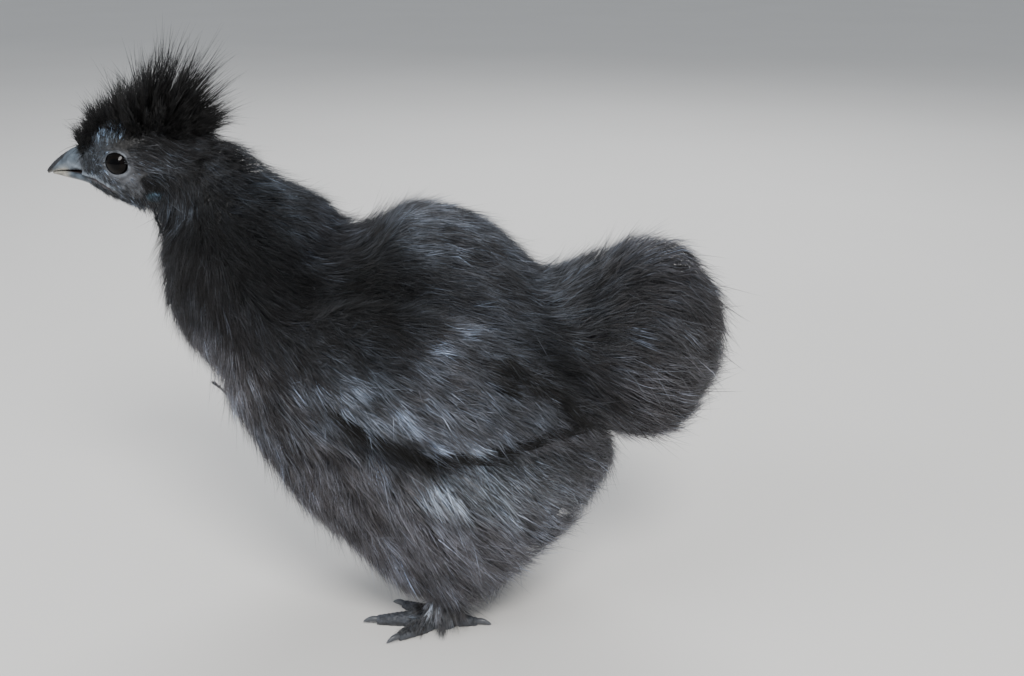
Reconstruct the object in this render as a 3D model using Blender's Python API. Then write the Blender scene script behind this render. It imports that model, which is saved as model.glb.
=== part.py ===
"""A young silkie chicken, standing in profile, at life size, as a still museum model.

The bird faces -X, its left side is towards -Y, and +Z is up. It stands on the soles of its
feet at z = 0. Each named part of the body is one closed solid: a core for the flesh and the
deep half of the plumage, with the long, hair-like feathers on it as flat, tapered locks.
"""
import itertools
import math
import random

import bmesh
import bpy
import numpy as np
from mathutils import Vector
from mathutils.bvhtree import BVHTree

MM = 0.001

# Driving dimensions of the bird, in metres.
GAP = 0.3 * MM
EYE_RADIUS = 5.0 * MM
EYE_X, EYE_Y, EYE_Z = -88.1 * MM, 8.2 * MM, 163.5 * MM
LID_Y, LID_RADIUS, LID_THICKNESS = 12.1 * MM, 4.1 * MM, 0.9 * MM
BEAK_GAP = 0.6 * MM
LEG_X, LEG_Y, ANKLE_Z = 15.0, 25.0, 10.0
SEED = 11

# A Boolean's result is cleaned by merging points closer than MERGE, and faces that lie flatter
# than the first of these angles, in degrees, that leaves the surface closed.
MERGE, FLAT_ANGLES = 0.005 * MM, {"UNION": (4, 3, 2, 1, 0.1), "DIFFERENCE": (0.5, 0.1)}

# A grown copy keeps its faces evenly apart, but moves no point by more than this many gaps.
EVENNESS, LONGEST_MOVE = 0.03, 3.0

# The plumage: how deep the coat lies over each core, and the shape of one lock, as
# (share along it, share of its width, share of its thickness).
LOCK_THICK, LOCK_SINK, HIDDEN_DEPTH = 2.4 * MM, 1.6 * MM, 3.0 * MM
LOCK_TAPER = ((0.0, 0.65, 1.0), (0.52, 1.0, 0.75))
NECK_DEPTH, TORSO_DEPTH, TAIL_DEPTH = 6.0 * MM, 5.5 * MM, 9.0 * MM
WING_DEPTH, THIGH_DEPTH = 2.5 * MM, 8.0 * MM

# Each part's locks, as (shares along its form of the rows, degrees between locks, length, width).
NECK_ROWS, NECK_STEP, NECK_LOCK = (0.04, 0.26, 0.49, 0.72), 36, (28 * MM, 20 * MM)
TORSO_ROWS, TORSO_STEP, TORSO_LOCK = (0.06, 0.21, 0.36, 0.51, 0.66, 0.80, 0.92), 27, (34 * MM, 23 * MM)
TAIL_ROWS, TAIL_STEP, TAIL_LOCK = (0.16, 0.38, 0.60, 0.80), 45, (31 * MM, 23 * MM)
WING_ROWS, WING_ANGLES, WING_LOCK = (0.05, 0.24, 0.43), (-58, -22, 14, 50), (29 * MM, 17 * MM)
THIGH_ROWS, THIGH_ANGLES, THIGH_LOCK = (0.15, 0.33, 0.51, 0.70), range(-117, 92, 52), (31 * MM, 22 * MM)
CREST_ROWS, CREST_ANGLES, CREST_WIDTH = (0.08, 0.30, 0.52, 0.74, 0.95), (20, 55, 90, 125, 160), 13 * MM

# The flight feathers, primaries and then secondaries, as (count, first root, last root, length,
# distance out), in millimetres. They fall back by FLIGHT_FALL degrees, spread over FLIGHT_SPREAD.
FLIGHT_TIERS = [(5, (41, 43, 97), (25, 45, 80), 34, 1.5), (5, (23, 46, 110), (4, 47, 80), 34, 3.5)]
FLIGHT_FALL, FLIGHT_SPREAD, FLIGHT_INWARDS = 30.0, -16.0, 0.16
VANE_WIDTH, VANE_THICK, VANE_STEP = 9.5 * MM, 1.1 * MM, 0.5
VANE_TAPER = ((0.0, 0.45, 1.0), (0.82, 1.0, 1.0))

COLOURS = {
    "down": ((0.030, 0.030, 0.034), 0.75),
    "black_down": ((0.010, 0.010, 0.012), 0.70),
    "grey_down": ((0.075, 0.070, 0.074), 0.80),
    "face_skin": ((0.075, 0.080, 0.092), 0.55),
    "leg_skin": ((0.045, 0.048, 0.056), 0.50),
    "horn": ((0.10, 0.12, 0.14), 0.35),
    "claw": ((0.055, 0.060, 0.068), 0.35),
    "eye": ((0.006, 0.005, 0.005), 0.08),
    "earlobe": ((0.07, 0.20, 0.28), 0.55),
}

# Stations are (x, y, z, half width, half height) in millimetres, along each form. They give
# the outline out to the tips of the plumage.
HEAD = [
    (-102.3, 0, 161.5, 5.4, 6.6), (-98, 0, 162, 8.2, 9.6), (-93, 0, 162.4, 11, 12.5),
    (-87, 0, 162.8, 12.8, 14.8), (-80, 0, 162.8, 13.6, 15.2), (-73, 0, 162.6, 12.6, 13.4),
    (-67.5, 0, 162.5, 9, 9.5), (-64.5, 0, 162.5, 4, 4),
]
# Places on the right side of the head and the half sizes there, and the line of the mouth as stations.
EAR, EAR_SIZE = (-77.5, 14.6, 157.5), (2.6, 1.8, 2.6)
EARLOBE, EARLOBE_SIZE = (-77.0, 12.0, 152.4), (3.4, 1.6, 2.6)
NOSTRIL, NOSTRIL_SIZE = (-103.2, 4.9, 164.0), (1.5, 1.2, 0.7)
GAPE = [(-104, 8, 157.6, 4.5, 0.45), (-98, 10, 156.8, 4.5, 0.4), (-91.8, 12, 154.4, 4.0, 0.3)]
BEAK_UPPER = [
    (-100, 0, 163.6, 4.9, 4.9), (-104, 0, 163.2, 4.3, 4.0), (-108, 0, 162.1, 3.5, 3.0),
    (-111.5, 0, 160.8, 2.4, 1.9), (-113.8, 0, 159.6, 1.5, 1.1), (-115.2, 0, 158.6, 0.6, 0.6),
]
BEAK_LOWER = [
    (-100, 0, 155.8, 4.4, 1.8), (-104, 0, 156.9, 3.7, 1.3), (-108, 0, 157.3, 2.8, 1.0),
    (-111.5, 0, 157.4, 1.7, 0.75), (-113.6, 0, 157.3, 0.8, 0.45),
]
CREST = [
    (-98, 0, 173, 4, 4), (-94, 0, 175, 11, 8), (-88.5, 0, 178.5, 15, 12), (-81, 0, 183.5, 18, 17),
    (-73, 0, 184, 20, 19.5), (-65.5, 0, 180, 18, 20), (-60, 0, 175, 13, 14), (-56.5, 0, 172, 6, 7),
]
CREST_CAP = [
    (-98.5, 0, 171, 4, 4), (-94, 0, 174, 9, 7), (-87, 0, 178, 12, 9), (-77, 0, 179, 13, 10.5),
    (-67, 0, 175, 12, 11), (-61, 0, 170, 8, 8),
]
NECK = [
    (-74, 0, 163, 11, 15), (-70, 0, 157.5, 14, 17.5), (-62.5, 0, 150.8, 18, 20.5), (-57, 0, 141.8, 25, 25.2),
    (-51.5, 0, 132.5, 31, 31.5), (-45, 0, 122, 34, 32.5), (-39, 0, 115, 32, 30),
]
TORSO = [
    (-76, 0, 117, 6, 6), (-71.5, 0, 116, 15, 12.5), (-62, 0, 114, 27, 19.5), (-49, 0, 111.5, 35, 29),
    (-36, 0, 104.5, 42, 38.5), (-19, 0, 96, 47, 52), (0, 0, 91.5, 48, 56.5), (15, 0, 92, 46, 56),
    (30, 0, 92, 44, 50), (45, 0, 92.5, 38, 38.5), (58, 0, 94.5, 28, 25), (66, 0, 97, 15, 13),
]
TAIL = [
    (48, 0, 104, 18, 17), (58, 0, 103, 26, 25), (70, 0, 101, 32, 31), (84, 0, 100, 34, 35.5),
    (96, 0, 98, 31, 33), (105, 0, 97, 23, 24), (110, 0, 96, 11, 12),
]
WING = [
    (-27, 38, 113, 4, 8), (-19, 42, 110, 6.5, 17), (-5, 44.5, 104.5, 8, 23), (12, 46, 99, 8, 24.5),
    (30, 45, 94.5, 7, 21), (48, 42, 88, 5, 15), (62, 37.5, 82.5, 3, 9), (70, 34.5, 80, 1.8, 4.5),
]
THIGH = [
    (16, 25, 90, 18, 36), (17, 24, 68, 25, 57), (18.5, 23, 48, 24, 48.5), (19, 23, 33, 20, 36),
    (19.5, 24, 20, 14.5, 24), (20, 25, 12.5, 9, 14), (20, 25, 8.5, 5, 7),
]
SHANK = [
    (LEG_X + 0.5, LEG_Y, 24, 4.5, 4.5), (LEG_X + 0.5, LEG_Y, 17, 4.2, 4.4), (LEG_X, LEG_Y, ANKLE_Z, 4.2, 4.4),
]
FOOT = [(LEG_X, LEG_Y, ANKLE_Z + 0.5, 4.3, 4.5), (LEG_X, LEG_Y, 5.0, 4.7, 4.9), (LEG_X, LEG_Y, 0.0, 4.6, 4.8)]
# The short feathers on the outside of the foot, as (root, tip) from its middle.
FOOT_TUFT = [((-1.5, 2, 6), (-6, 11, 2)), ((0.5, 2.5, 6), (1, 14, 2.5)), ((2.5, 2, 6), (7, 10, 2))]
# Each toe: (name, angle from straight ahead towards the outside, length, half width, root's height, rise).
TOES = [
    ("inner", -32, 18, 2.4, 0, 0), ("middle", 2, 24, 2.7, 0, 0), ("outer", 36, 19, 2.4, 0, 0),
    ("hind", 172, 12, 2.2, 0, 0), ("fifth", -148, 9, 1.7, 5.0, 3.2),
]
# Each place along a toe: (share of its length, share of its half width, height as a share of its thickness).
TOE_PADS = [(0.0, 1.1, 0.64), (0.3, 1.0, 0.64), (0.5, 1.12, 0.62), (0.75, 0.9, 0.75), (1.0, 0.62, 1.05)]
TOE_FLATNESS = 0.92
# Each place along a claw: (distance past the toe's end, height over the toe's tip, half width, half height).
CLAW = [(-1.5, 0.2, 1.0, 1.0), (1.5, 0.5, 0.95, 1.1), (3.6, 0.0, 0.6, 0.8), (5.0, -0.5, 0.4, 0.4)]


def clear_scene():
    """Removes whatever the scene holds."""
    for thing in list(bpy.data.objects):
        bpy.data.objects.remove(thing)


def finish_of(name):
    """The material of that name, with its colour and roughness from COLOURS."""
    material = bpy.data.materials.get(name)
    if material is None:
        colour, roughness = COLOURS[name]
        material = bpy.data.materials.new(name)
        material.use_nodes = True
        shader = material.node_tree.nodes["Principled BSDF"]
        shader.inputs["Base Color"].default_value = (*colour, 1.0)
        shader.inputs["Roughness"].default_value = roughness
    return material


def smooth(rows, count):
    """The rows of a table, read at count places on a Catmull-Rom curve through them."""
    rows = np.array(rows, float)
    padded = np.vstack([2 * rows[0] - rows[1], rows, 2 * rows[-1] - rows[-2]])
    at = np.linspace(0.0, len(rows) - 1.0, count)
    first = np.minimum(at.astype(int), len(rows) - 2)
    t = (at - first)[:, None]
    a, b, c, d = (padded[first + k] for k in range(4))
    return 0.5 * (2 * b + (c - a) * t + (2 * a - 5 * b + 4 * c - d) * t**2 + (3 * b - a - 3 * c + d) * t**3)


class Form:
    """A round body lofted through stations of (x, y, z, half width, half height), in millimetres.

    The half width is measured along side, the half height along the third direction, and
    every cross-section is an ellipse square to the path through the centres.
    """

    CAP = 0.35

    def __init__(self, stations, side=(0, 1, 0), rings=12, sides=20):
        self.rows = smooth(stations, rings) * MM
        self.sides = sides
        centres = self.rows[:, :3]
        along = np.gradient(centres, axis=0)
        self.along = along / np.linalg.norm(along, axis=1)[:, None]
        side = np.array(side, float)
        across = side - (self.along @ side)[:, None] * self.along
        self.across = across / np.linalg.norm(across, axis=1)[:, None]
        self.up = np.cross(self.along, self.across)
        upward = np.array((0, 0, 1.0)) if abs(self.along[:, 2].mean()) < 0.75 else np.array((1.0, 0, 0))
        self.up *= np.where(self.up @ upward < 0, -1, 1)[:, None]

    def at(self, u, angle, inset=0.0):
        """The point a share u of the way along, at an angle in degrees from side towards up."""
        place = min(max(u, 0.0), 1.0) * (len(self.rows) - 1)
        low = min(int(place), len(self.rows) - 2)
        t = place - low

        def mixed(values):
            return values[low] * (1 - t) + values[low + 1] * t

        a = math.radians(angle)
        row = mixed(self.rows)
        wide, high = max(row[3] - inset, 0.4 * MM), max(row[4] - inset, 0.4 * MM)
        return row[:3] + mixed(self.across) * wide * math.cos(a) + mixed(self.up) * high * math.sin(a)

    def girth(self, u):
        """How thick the form is there, from 0.35 at its ends to 1 at its thickest."""
        girths = self.rows[:, 3] + self.rows[:, 4]
        here = np.interp(u * (len(girths) - 1), range(len(girths)), girths)
        return 0.35 + 0.65 * here / girths.max()

    def tree(self):
        """The form's outline as a tree that finds the nearest place on it."""
        outline = self.mesh("outline", "down")
        shape = bmesh.new()
        shape.from_mesh(outline.data)
        found = BVHTree.FromBMesh(shape)
        shape.free()
        bpy.data.objects.remove(outline)
        return found

    def mesh(self, name, finish, inset=0.0, floor=None):
        """A closed mesh of the form, moved inwards by inset and kept above floor."""
        angles = np.linspace(0, 2 * math.pi, self.sides, endpoint=False)
        cos, sin = np.cos(angles)[None, :, None], np.sin(angles)[None, :, None]
        wide = np.maximum(self.rows[:, 3] - inset, 0.4 * MM)[:, None, None]
        high = np.maximum(self.rows[:, 4] - inset, 0.4 * MM)[:, None, None]
        rings = self.rows[:, None, :3] + self.across[:, None] * wide * cos + self.up[:, None] * high * sin
        start = self.rows[0, :3] - self.along[0] * (self.CAP * self.rows[0, 3:].min())
        end = self.rows[-1, :3] + self.along[-1] * (self.CAP * self.rows[-1, 3:].min())
        points = np.vstack([rings.reshape(-1, 3), start, end])
        if floor is not None:
            points[:, 2] = np.maximum(points[:, 2], floor)
        count, n = len(self.rows), self.sides
        faces = []
        for i in range(count - 1):
            for j in range(n):
                k = (j + 1) % n
                faces.append((i * n + j, i * n + k, (i + 1) * n + k, (i + 1) * n + j))
        for j in range(n):
            k = (j + 1) % n
            faces.append((count * n, k, j))
            faces.append((count * n + 1, (count - 1) * n + j, (count - 1) * n + k))
        return solid(name, points, faces, finish)


def solid(name, points, faces, finish):
    """A mesh object with its faces turned outwards."""
    mesh = bpy.data.meshes.new(name)
    mesh.from_pydata([tuple(p) for p in points], [], faces)
    shape = bmesh.new()
    shape.from_mesh(mesh)
    bmesh.ops.recalc_face_normals(shape, faces=shape.faces)
    bmesh.ops.triangulate(shape, faces=shape.faces)
    shape.to_mesh(mesh)
    shape.free()
    made = bpy.data.objects.new(name, mesh)
    made.data.materials.append(finish_of(finish))
    bpy.context.scene.collection.objects.link(made)
    return made


def combine(base, others, operation):
    """base joined with, or cut by, the other closed meshes, which are then removed."""
    tools = bpy.data.collections.new("tools")
    bpy.context.scene.collection.children.link(tools)
    for other in others:
        for holder in list(other.users_collection):
            holder.objects.unlink(other)
        tools.objects.link(other)
    boolean = base.modifiers.new("combine", "BOOLEAN")
    boolean.operation = operation
    boolean.solver = "MANIFOLD"
    boolean.operand_type = "COLLECTION"
    boolean.collection = tools
    bpy.context.view_layer.update()
    made = bpy.data.meshes.new_from_object(base.evaluated_get(bpy.context.evaluated_depsgraph_get()))
    base.modifiers.clear()
    base.data = made
    for other in others:
        bpy.data.objects.remove(other)
    bpy.data.collections.remove(tools)
    keep_largest(base, FLAT_ANGLES[operation])
    return base


def cleaned(mesh, flat_angles):
    """The mesh without the slivers that a Boolean leaves, or as it is where cleaning would open it."""
    for flat_angle, method in itertools.product(flat_angles, ("BEAUTY", "EAR_CLIP")):
        shape = bmesh.new()
        shape.from_mesh(mesh)
        bmesh.ops.remove_doubles(shape, verts=shape.verts, dist=MERGE)
        limit = math.radians(flat_angle)
        bmesh.ops.dissolve_limit(shape, angle_limit=limit, verts=shape.verts, edges=shape.edges)
        bmesh.ops.triangulate(shape, faces=shape.faces, ngon_method=method)
        if all(len(edge.link_faces) == 2 for edge in shape.edges):
            return shape
    shape = bmesh.new()
    shape.from_mesh(mesh)
    bmesh.ops.triangulate(shape, faces=shape.faces)
    return shape


def keep_largest(base, flat_angles):
    """Cleans the mesh and keeps only the closed surface that holds the most."""
    shape = cleaned(base.data, flat_angles)
    unseen, shells = set(shape.faces), []
    while unseen:
        shell, front = [], [unseen.pop()]
        while front:
            face = front.pop()
            shell.append(face)
            for edge in face.edges:
                for near in edge.link_faces:
                    if near in unseen and len(edge.link_faces) == 2:
                        unseen.remove(near)
                        front.append(near)
        shells.append(shell)

    def volume(shell):
        return sum(f.verts[0].co.dot(f.verts[1].co.cross(f.verts[2].co)) for f in shell) / 6

    shells.sort(key=volume)
    bmesh.ops.delete(shape, geom=[f for shell in shells[:-1] for f in shell], context="FACES")
    shape.to_mesh(base.data)
    shape.free()


def grown(base, gap=GAP):
    """A copy of the mesh with its faces moved outwards by gap, to cut a neighbour clear of it."""
    shape = bmesh.new()
    shape.from_mesh(base.data)
    shape.normal_update()
    moves = []
    for v in shape.verts:
        normals = np.array([face.normal for face in v.link_faces])
        faces_by_gap = normals.T @ normals + EVENNESS * np.eye(3)
        move = np.linalg.solve(faces_by_gap, normals.sum(0) * gap)
        length = np.linalg.norm(move)
        moves.append(Vector(move * min(1.0, LONGEST_MOVE * gap / length) if length else move))
    for v, move in zip(shape.verts, moves):
        v.co += move
    copy = bpy.data.meshes.new(base.name + "_grown")
    shape.to_mesh(copy)
    shape.free()
    made = bpy.data.objects.new(copy.name, copy)
    bpy.context.scene.collection.objects.link(made)
    return made


def cut_clear(base, *neighbours):
    """Cuts base back to a gap from each of its neighbours, and never into them."""
    return combine(base, [grown(n, gap) for n in neighbours for gap in (GAP, 0.0)], "DIFFERENCE")


def unit(v):
    return np.array(v, float) / np.linalg.norm(v)


def lock(root, tip, normal, width, thick=LOCK_THICK, bulge=0.0, taper=LOCK_TAPER):
    """A flat, tapered lock from root to tip, ridged above, flat beneath and bent outwards by bulge."""
    middle = (root + tip) / 2 + normal * bulge
    points, faces = [], []
    for t, wide, high in taper:
        centre = (1 - t) ** 2 * root + 2 * t * (1 - t) * middle + t**2 * tip
        way = (1 - t) * (middle - root) + t * (tip - middle)
        side = unit(np.cross(way, normal))
        up = unit(np.cross(side, way))
        edge = side * wide * width / 2
        points += [centre + edge, centre + up * high * thick, centre - edge]
    points.append(tip)
    last = len(points) - 4
    for ring in range(0, last, 3):
        for j in range(3):
            k = (j + 1) % 3
            faces.append((ring + j, ring + k, ring + 3 + k, ring + 3 + j))
    faces += [(last + j, last + (j + 1) % 3, last + 3) for j in range(3)]
    faces.append((2, 1, 0))
    return solid("lock", points, faces, "down")


def is_inside(tree, point, margin=0.0):
    """Whether the point lies deeper than margin inside a closed outline."""
    near, normal, _, _ = tree.find_nearest(Vector(point))
    return (Vector(point) - near).dot(normal) < -margin


def settle(point, trees, lift=0.0):
    """The point moved to the outermost of the outlines that it is near, and lift above it."""
    near, normal, _, _ = trees[0].find_nearest(Vector(point))
    for tree in trees[1:]:
        if is_inside(tree, near):
            near, normal, _, _ = tree.find_nearest(near)
    return np.array(near + normal * lift)


def coat(form, coat_depth, places, lie, size, hidden=(), under=(), lift=1.5 * MM):
    """Locks that lie along the surface of a form, each rooted in its core and ending at its outline.

    places are (share along the form, angle in degrees), lie gives the way that the coat runs at a
    point, size is the length and width of a lock, hidden are the outlines of neighbours that no
    root stands in, and under the outlines of neighbours that the tips lie over. Tips stand up to
    lift above the outline.
    """
    random.seed(SEED)
    trees = [form.tree(), *under]
    made = []
    for u, angle in places:
        u += random.uniform(-0.012, 0.012)
        angle += random.uniform(-4, 4)
        point = form.at(u, angle)
        spread, reach, rise = random.uniform(-0.16, 0.16), random.uniform(0.85, 1.15), random.uniform(0, 1)
        if any(is_inside(tree, point, HIDDEN_DEPTH) for tree in hidden):
            continue
        normal = np.array(trees[0].find_nearest(Vector(point))[1])
        way = lie(point)
        way = unit(way - normal * (way @ normal))
        way = unit(way + np.cross(normal, way) * spread)
        width = size[1] * form.girth(u) * random.uniform(0.85, 1.15)
        root = form.at(u, angle, coat_depth) - normal * LOCK_SINK
        tip = settle(point + way * size[0] * reach, trees, rise * lift)
        tip[2] = max(tip[2], 1.0 * MM)
        if any(is_inside(tree, tip, 1.5 * HIDDEN_DEPTH) for tree in hidden):
            continue
        made.append(lock(root, tip, normal, width, bulge=coat_depth * 0.75))
    return made


def fan(core, outline, places, centre, lean, hidden):
    """Locks that spread from a centre, each rooted in the core and ending at the outline."""
    random.seed(SEED)
    tree = outline.tree()
    made = []
    for u, angle in places:
        root = core.at(u + random.uniform(-0.02, 0.02), angle + random.uniform(-5, 5))
        spread = [random.uniform(-0.12, 0.12) for _ in range(3)]
        reach, width = random.uniform(0.84, 1.05), CREST_WIDTH * random.uniform(0.85, 1.15)
        if any(is_inside(other, root, 0.5 * MM) for other in hidden):
            continue
        way = unit(unit(root - centre) + lean + np.array(spread))
        far = tree.ray_cast(Vector(root), Vector(way))[0]
        if far is None:
            continue
        tip = root + (np.array(far) - root) * reach
        turn = random.uniform(0.3, 1.2)
        outward = np.array((-math.cos(turn), math.copysign(math.sin(turn), root[1]), 0))
        normal = unit(outward - way * (outward @ way))
        made.append(lock(root - way * LOCK_SINK, tip, normal, width, bulge=2 * MM))
    return made


def staggered(us, angles, shift, sign=1):
    """Places in rows along a form, every other row moved round by shift degrees.

    For a form on the left (sign -1) they are those of the one on the right, mirrored.
    """
    turned = [(u, angle + (shift if row % 2 else 0)) for row, u in enumerate(us) for angle in angles]
    return [(u, angle if sign > 0 else 180 - angle) for u, angle in turned]


def other_half(sign):
    """A block over the half of the bird away from the side sign, to cut a thigh back to its own half."""
    size = 0.4
    bpy.ops.mesh.primitive_cube_add(size=size, location=(0, -sign * (size / 2 - GAP), 0))
    return bpy.context.object


def ball(name, centre, radii, finish, segments, rings):
    """An ellipsoid with its poles along Y."""
    shape = bmesh.new()
    bmesh.ops.create_uvsphere(shape, u_segments=segments, v_segments=rings, radius=1.0)
    points = [(v.co.x * radii[0], -v.co.z * radii[1], v.co.y * radii[2]) for v in shape.verts]
    for v, p in zip(shape.verts, points):
        v.co = Vector(p) + Vector(centre)
    mesh = bpy.data.meshes.new(name)
    shape.to_mesh(mesh)
    shape.free()
    made = bpy.data.objects.new(name, mesh)
    made.data.materials.append(finish_of(finish))
    bpy.context.scene.collection.objects.link(made)
    return made


def mirrored(stations, sign):
    """The stations of a form on the bird's right (sign 1) or left (sign -1)."""
    return [(x, sign * y, z, w, h) for x, y, z, w, h in stations]


def sided(name, sign):
    return f"{name}_{'right' if sign > 0 else 'left'}"


def make_head():
    """The head, with its lids, eye sockets, ear openings and the line of the mouth."""
    head = Form(HEAD, rings=10, sides=20).mesh("head", "face_skin")
    lids, hollows = [], []
    for sign in (1, -1):
        bpy.ops.mesh.primitive_torus_add(
            major_segments=14, minor_segments=5, major_radius=LID_RADIUS, minor_radius=LID_THICKNESS,
            location=(EYE_X, sign * LID_Y, EYE_Z), rotation=(math.pi / 2, 0, 0),
        )
        lids.append(bpy.context.object)
        eye, side = (EYE_X, sign * EYE_Y, EYE_Z), (1, sign, 1)
        hollows.append(ball("socket", eye, [EYE_RADIUS + GAP] * 3, "eye", 12, 8))
        hollows.append(ball("ear", np.array(EAR) * side * MM, np.array(EAR_SIZE) * MM, "face_skin", 10, 6))
        hollows.append(Form(mirrored(GAPE, sign), rings=5, sides=8).mesh("gape", "face_skin"))
    combine(head, lids, "UNION")
    combine(head, hollows, "DIFFERENCE")
    return head


def make_beak(head):
    """The two halves of the beak, a little open, with the nostrils in the upper one."""
    upper = Form(BEAK_UPPER, rings=8, sides=12).mesh("beak_upper", "horn")
    nostrils = []
    for side in ((1, 1, 1), (1, -1, 1)):
        centre = np.array(NOSTRIL) * side * MM
        nostrils.append(ball("nostril", centre, np.array(NOSTRIL_SIZE) * MM, "horn", 8, 4))
    combine(upper, nostrils, "DIFFERENCE")
    cut_clear(upper, head)
    lower = Form(BEAK_LOWER, rings=6, sides=12).mesh("beak_lower", "horn")
    combine(lower, [grown(head), grown(upper, BEAK_GAP)], "DIFFERENCE")
    return [upper, lower]


def make_claw(name, tip, way):
    """One claw, which starts inside the toe's end and curves down to the floor."""
    rows = [(*(tip + way * past + (0, 0, rise)), wide, high) for past, rise, wide, high in CLAW]
    form = Form(rows, side=np.cross(way, (0, 0, 1)), rings=5, sides=6)
    return form.mesh(name, "claw", floor=GAP)


def make_leg(sign):
    """The shank, the foot with its five toes, and the claws of one side."""
    shank = Form(mirrored(SHANK, sign), rings=4, sides=10).mesh(sided("shank", sign), "leg_skin")
    foot = Form(mirrored(FOOT, sign), rings=4, sides=10).mesh(sided("foot", sign), "leg_skin", floor=0.0)
    toes, claws, tuft = [], [], []
    for ends in FOOT_TUFT:
        root, tip = ((np.array(end) + (LEG_X, LEG_Y, 0)) * (1, sign, 1) * MM for end in ends)
        tuft.append(lock(root, tip, np.array((0, 0, 1)), 5 * MM, 1.6 * MM, 1.2 * MM))
    for name, angle, length, width, root_z, rise in TOES:
        a = math.radians(angle)
        way = np.array((-math.cos(a), sign * math.sin(a), 0))
        root = np.array((LEG_X, sign * LEG_Y, root_z))
        rows = []
        for share, fat, height in TOE_PADS:
            thick = width * fat * TOE_FLATNESS
            centre = root + way * length * share + (0, 0, height * thick + rise * share)
            rows.append((*centre, width * fat, thick))
        toe = Form(rows, side=np.cross(way, (0, 0, 1)), rings=6, sides=8)
        toes.append(toe.mesh(name, "leg_skin", floor=0.0))
        claws.append(make_claw(f"{sided('claw', sign)}_{name}", np.array(rows[-1][:3]), way))
    combine(foot, toes + tuft, "UNION")
    cut_clear(foot, shank)
    for claw in claws:
        cut_clear(claw, foot)
    return [shank, foot, *claws]


def stand_on_origin(nodes):
    """Moves the bird so that the origin is under the middle of its box, on the floor."""
    points = np.array([v.co for n in nodes for v in n.data.vertices])
    low, high = points.min(0), points.max(0)
    shift = Vector((-(low[0] + high[0]) / 2, -(low[1] + high[1]) / 2, -low[2]))
    for node in nodes:
        for v in node.data.vertices:
            v.co += shift


def make_crest(head, head_form):
    """The crest: a low cap on the crown, with locks that stand up from the brow and lean back."""
    cap = Form(CREST_CAP, rings=6, sides=12)
    crest = cap.mesh("crest", "black_down")
    places = staggered(CREST_ROWS, CREST_ANGLES, 17)
    centre, lean = np.array((-86, 0, 160)) * MM, np.array((0.25, 0, 0.12))
    locks = fan(cap, Form(CREST), places, centre, lean, [head_form.tree()])
    combine(crest, locks, "UNION")
    return cut_clear(crest, head)


def make_neck(head, crest, soft, head_form, torso_form):
    """The neck and its hackle, whose last row lies over the back and the breast."""
    form = Form(NECK, rings=6, sides=14)
    neck = form.mesh("neck", "black_down", NECK_DEPTH)
    torso_tree = torso_form.tree()

    def lie(point):
        down_the_neck = np.array((0.6, 0, -0.8))
        return down_the_neck + np.array((0.25, 0, 0)) * (point[2] > 0.14)

    places = staggered(NECK_ROWS, range(0, 360, NECK_STEP), NECK_STEP / 2)
    hidden = [head_form.tree(), torso_tree]
    locks = coat(form, NECK_DEPTH, places, lie, NECK_LOCK, hidden, [torso_tree], 3 * MM)
    combine(neck, locks, "UNION")
    return cut_clear(neck, head, crest, *soft)


def make_wing(sign, neck):
    """A folded wing: covert locks in tiers, and flight feathers as overlapping vanes below them."""
    name = sided("wing", sign)
    form = Form(mirrored(WING, sign), rings=8, sides=10)
    wing = form.mesh(name, "down", WING_DEPTH)
    places = staggered(WING_ROWS, WING_ANGLES, 14, sign)

    def lie(point):
        return np.array((0.85, 0, -0.5))

    locks = coat(form, WING_DEPTH, places, lie, WING_LOCK)
    combine(wing, locks + make_flights(sign), "UNION")
    return cut_clear(wing, neck)


def make_flights(sign):
    """The flight feathers of one wing, each a flat vane with a rounded end, in two tiers."""
    vanes = []
    for count, start, end, length, out in FLIGHT_TIERS:
        for k in range(count):
            share = k / (count - 1)
            base = np.array(start) * (1 - share) + np.array(end) * share
            fall = math.radians(FLIGHT_FALL + FLIGHT_SPREAD * (share - 0.5))
            way = np.array((math.cos(fall), -FLIGHT_INWARDS, -math.sin(fall)))
            end_of_vane = base + way * length * (1 - 0.12 * abs(share - 0.5))
            places = [p * (1, sign, 1) * MM for p in (base, end_of_vane)]
            out_step = np.array((0, sign * (out - VANE_STEP * k), 0)) * MM
            normal = unit((0.1, sign, 0.15))
            root, tip = (place + out_step for place in places)
            vanes.append(lock(root, tip, normal, VANE_WIDTH, VANE_THICK, 1 * MM, VANE_TAPER))
    return vanes


def make_torso(neighbours, forms):
    """The body: locks run back from the breast, over the back and down the flanks."""
    form = forms["torso"]
    torso = Form(TORSO, rings=10, sides=16).mesh("torso", "down", TORSO_DEPTH)
    hidden = [forms[name].tree() for name in forms if name != "torso"]

    def lie(point):
        backwards = min(max((point[0] / MM + 75) / 60, 0.0), 1.0)
        return np.array((0.25 + 0.75 * backwards, 0, -1.0 + 0.65 * backwards))

    places = staggered(TORSO_ROWS, range(0, 360, TORSO_STEP), TORSO_STEP / 2)
    locks = coat(form, TORSO_DEPTH, places, lie, TORSO_LOCK, hidden)
    combine(torso, locks, "UNION")
    return cut_clear(torso, *neighbours)


def make_tail(neighbours, forms):
    """The tail: a round puff of long, soft feathers that run back from the rump and fall at its end."""
    form = forms["tail"]
    tail = Form(TAIL, rings=7, sides=12).mesh("tail", "down", TAIL_DEPTH)
    places = staggered(TAIL_ROWS, range(0, 360, TAIL_STEP), TAIL_STEP / 2)

    def lie(point):
        return np.array((0.9, 0, -0.45))

    locks = coat(form, TAIL_DEPTH, places, lie, TAIL_LOCK, [forms["torso"].tree()], (), 3 * MM)
    combine(tail, locks, "UNION")
    return cut_clear(tail, *neighbours)


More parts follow.
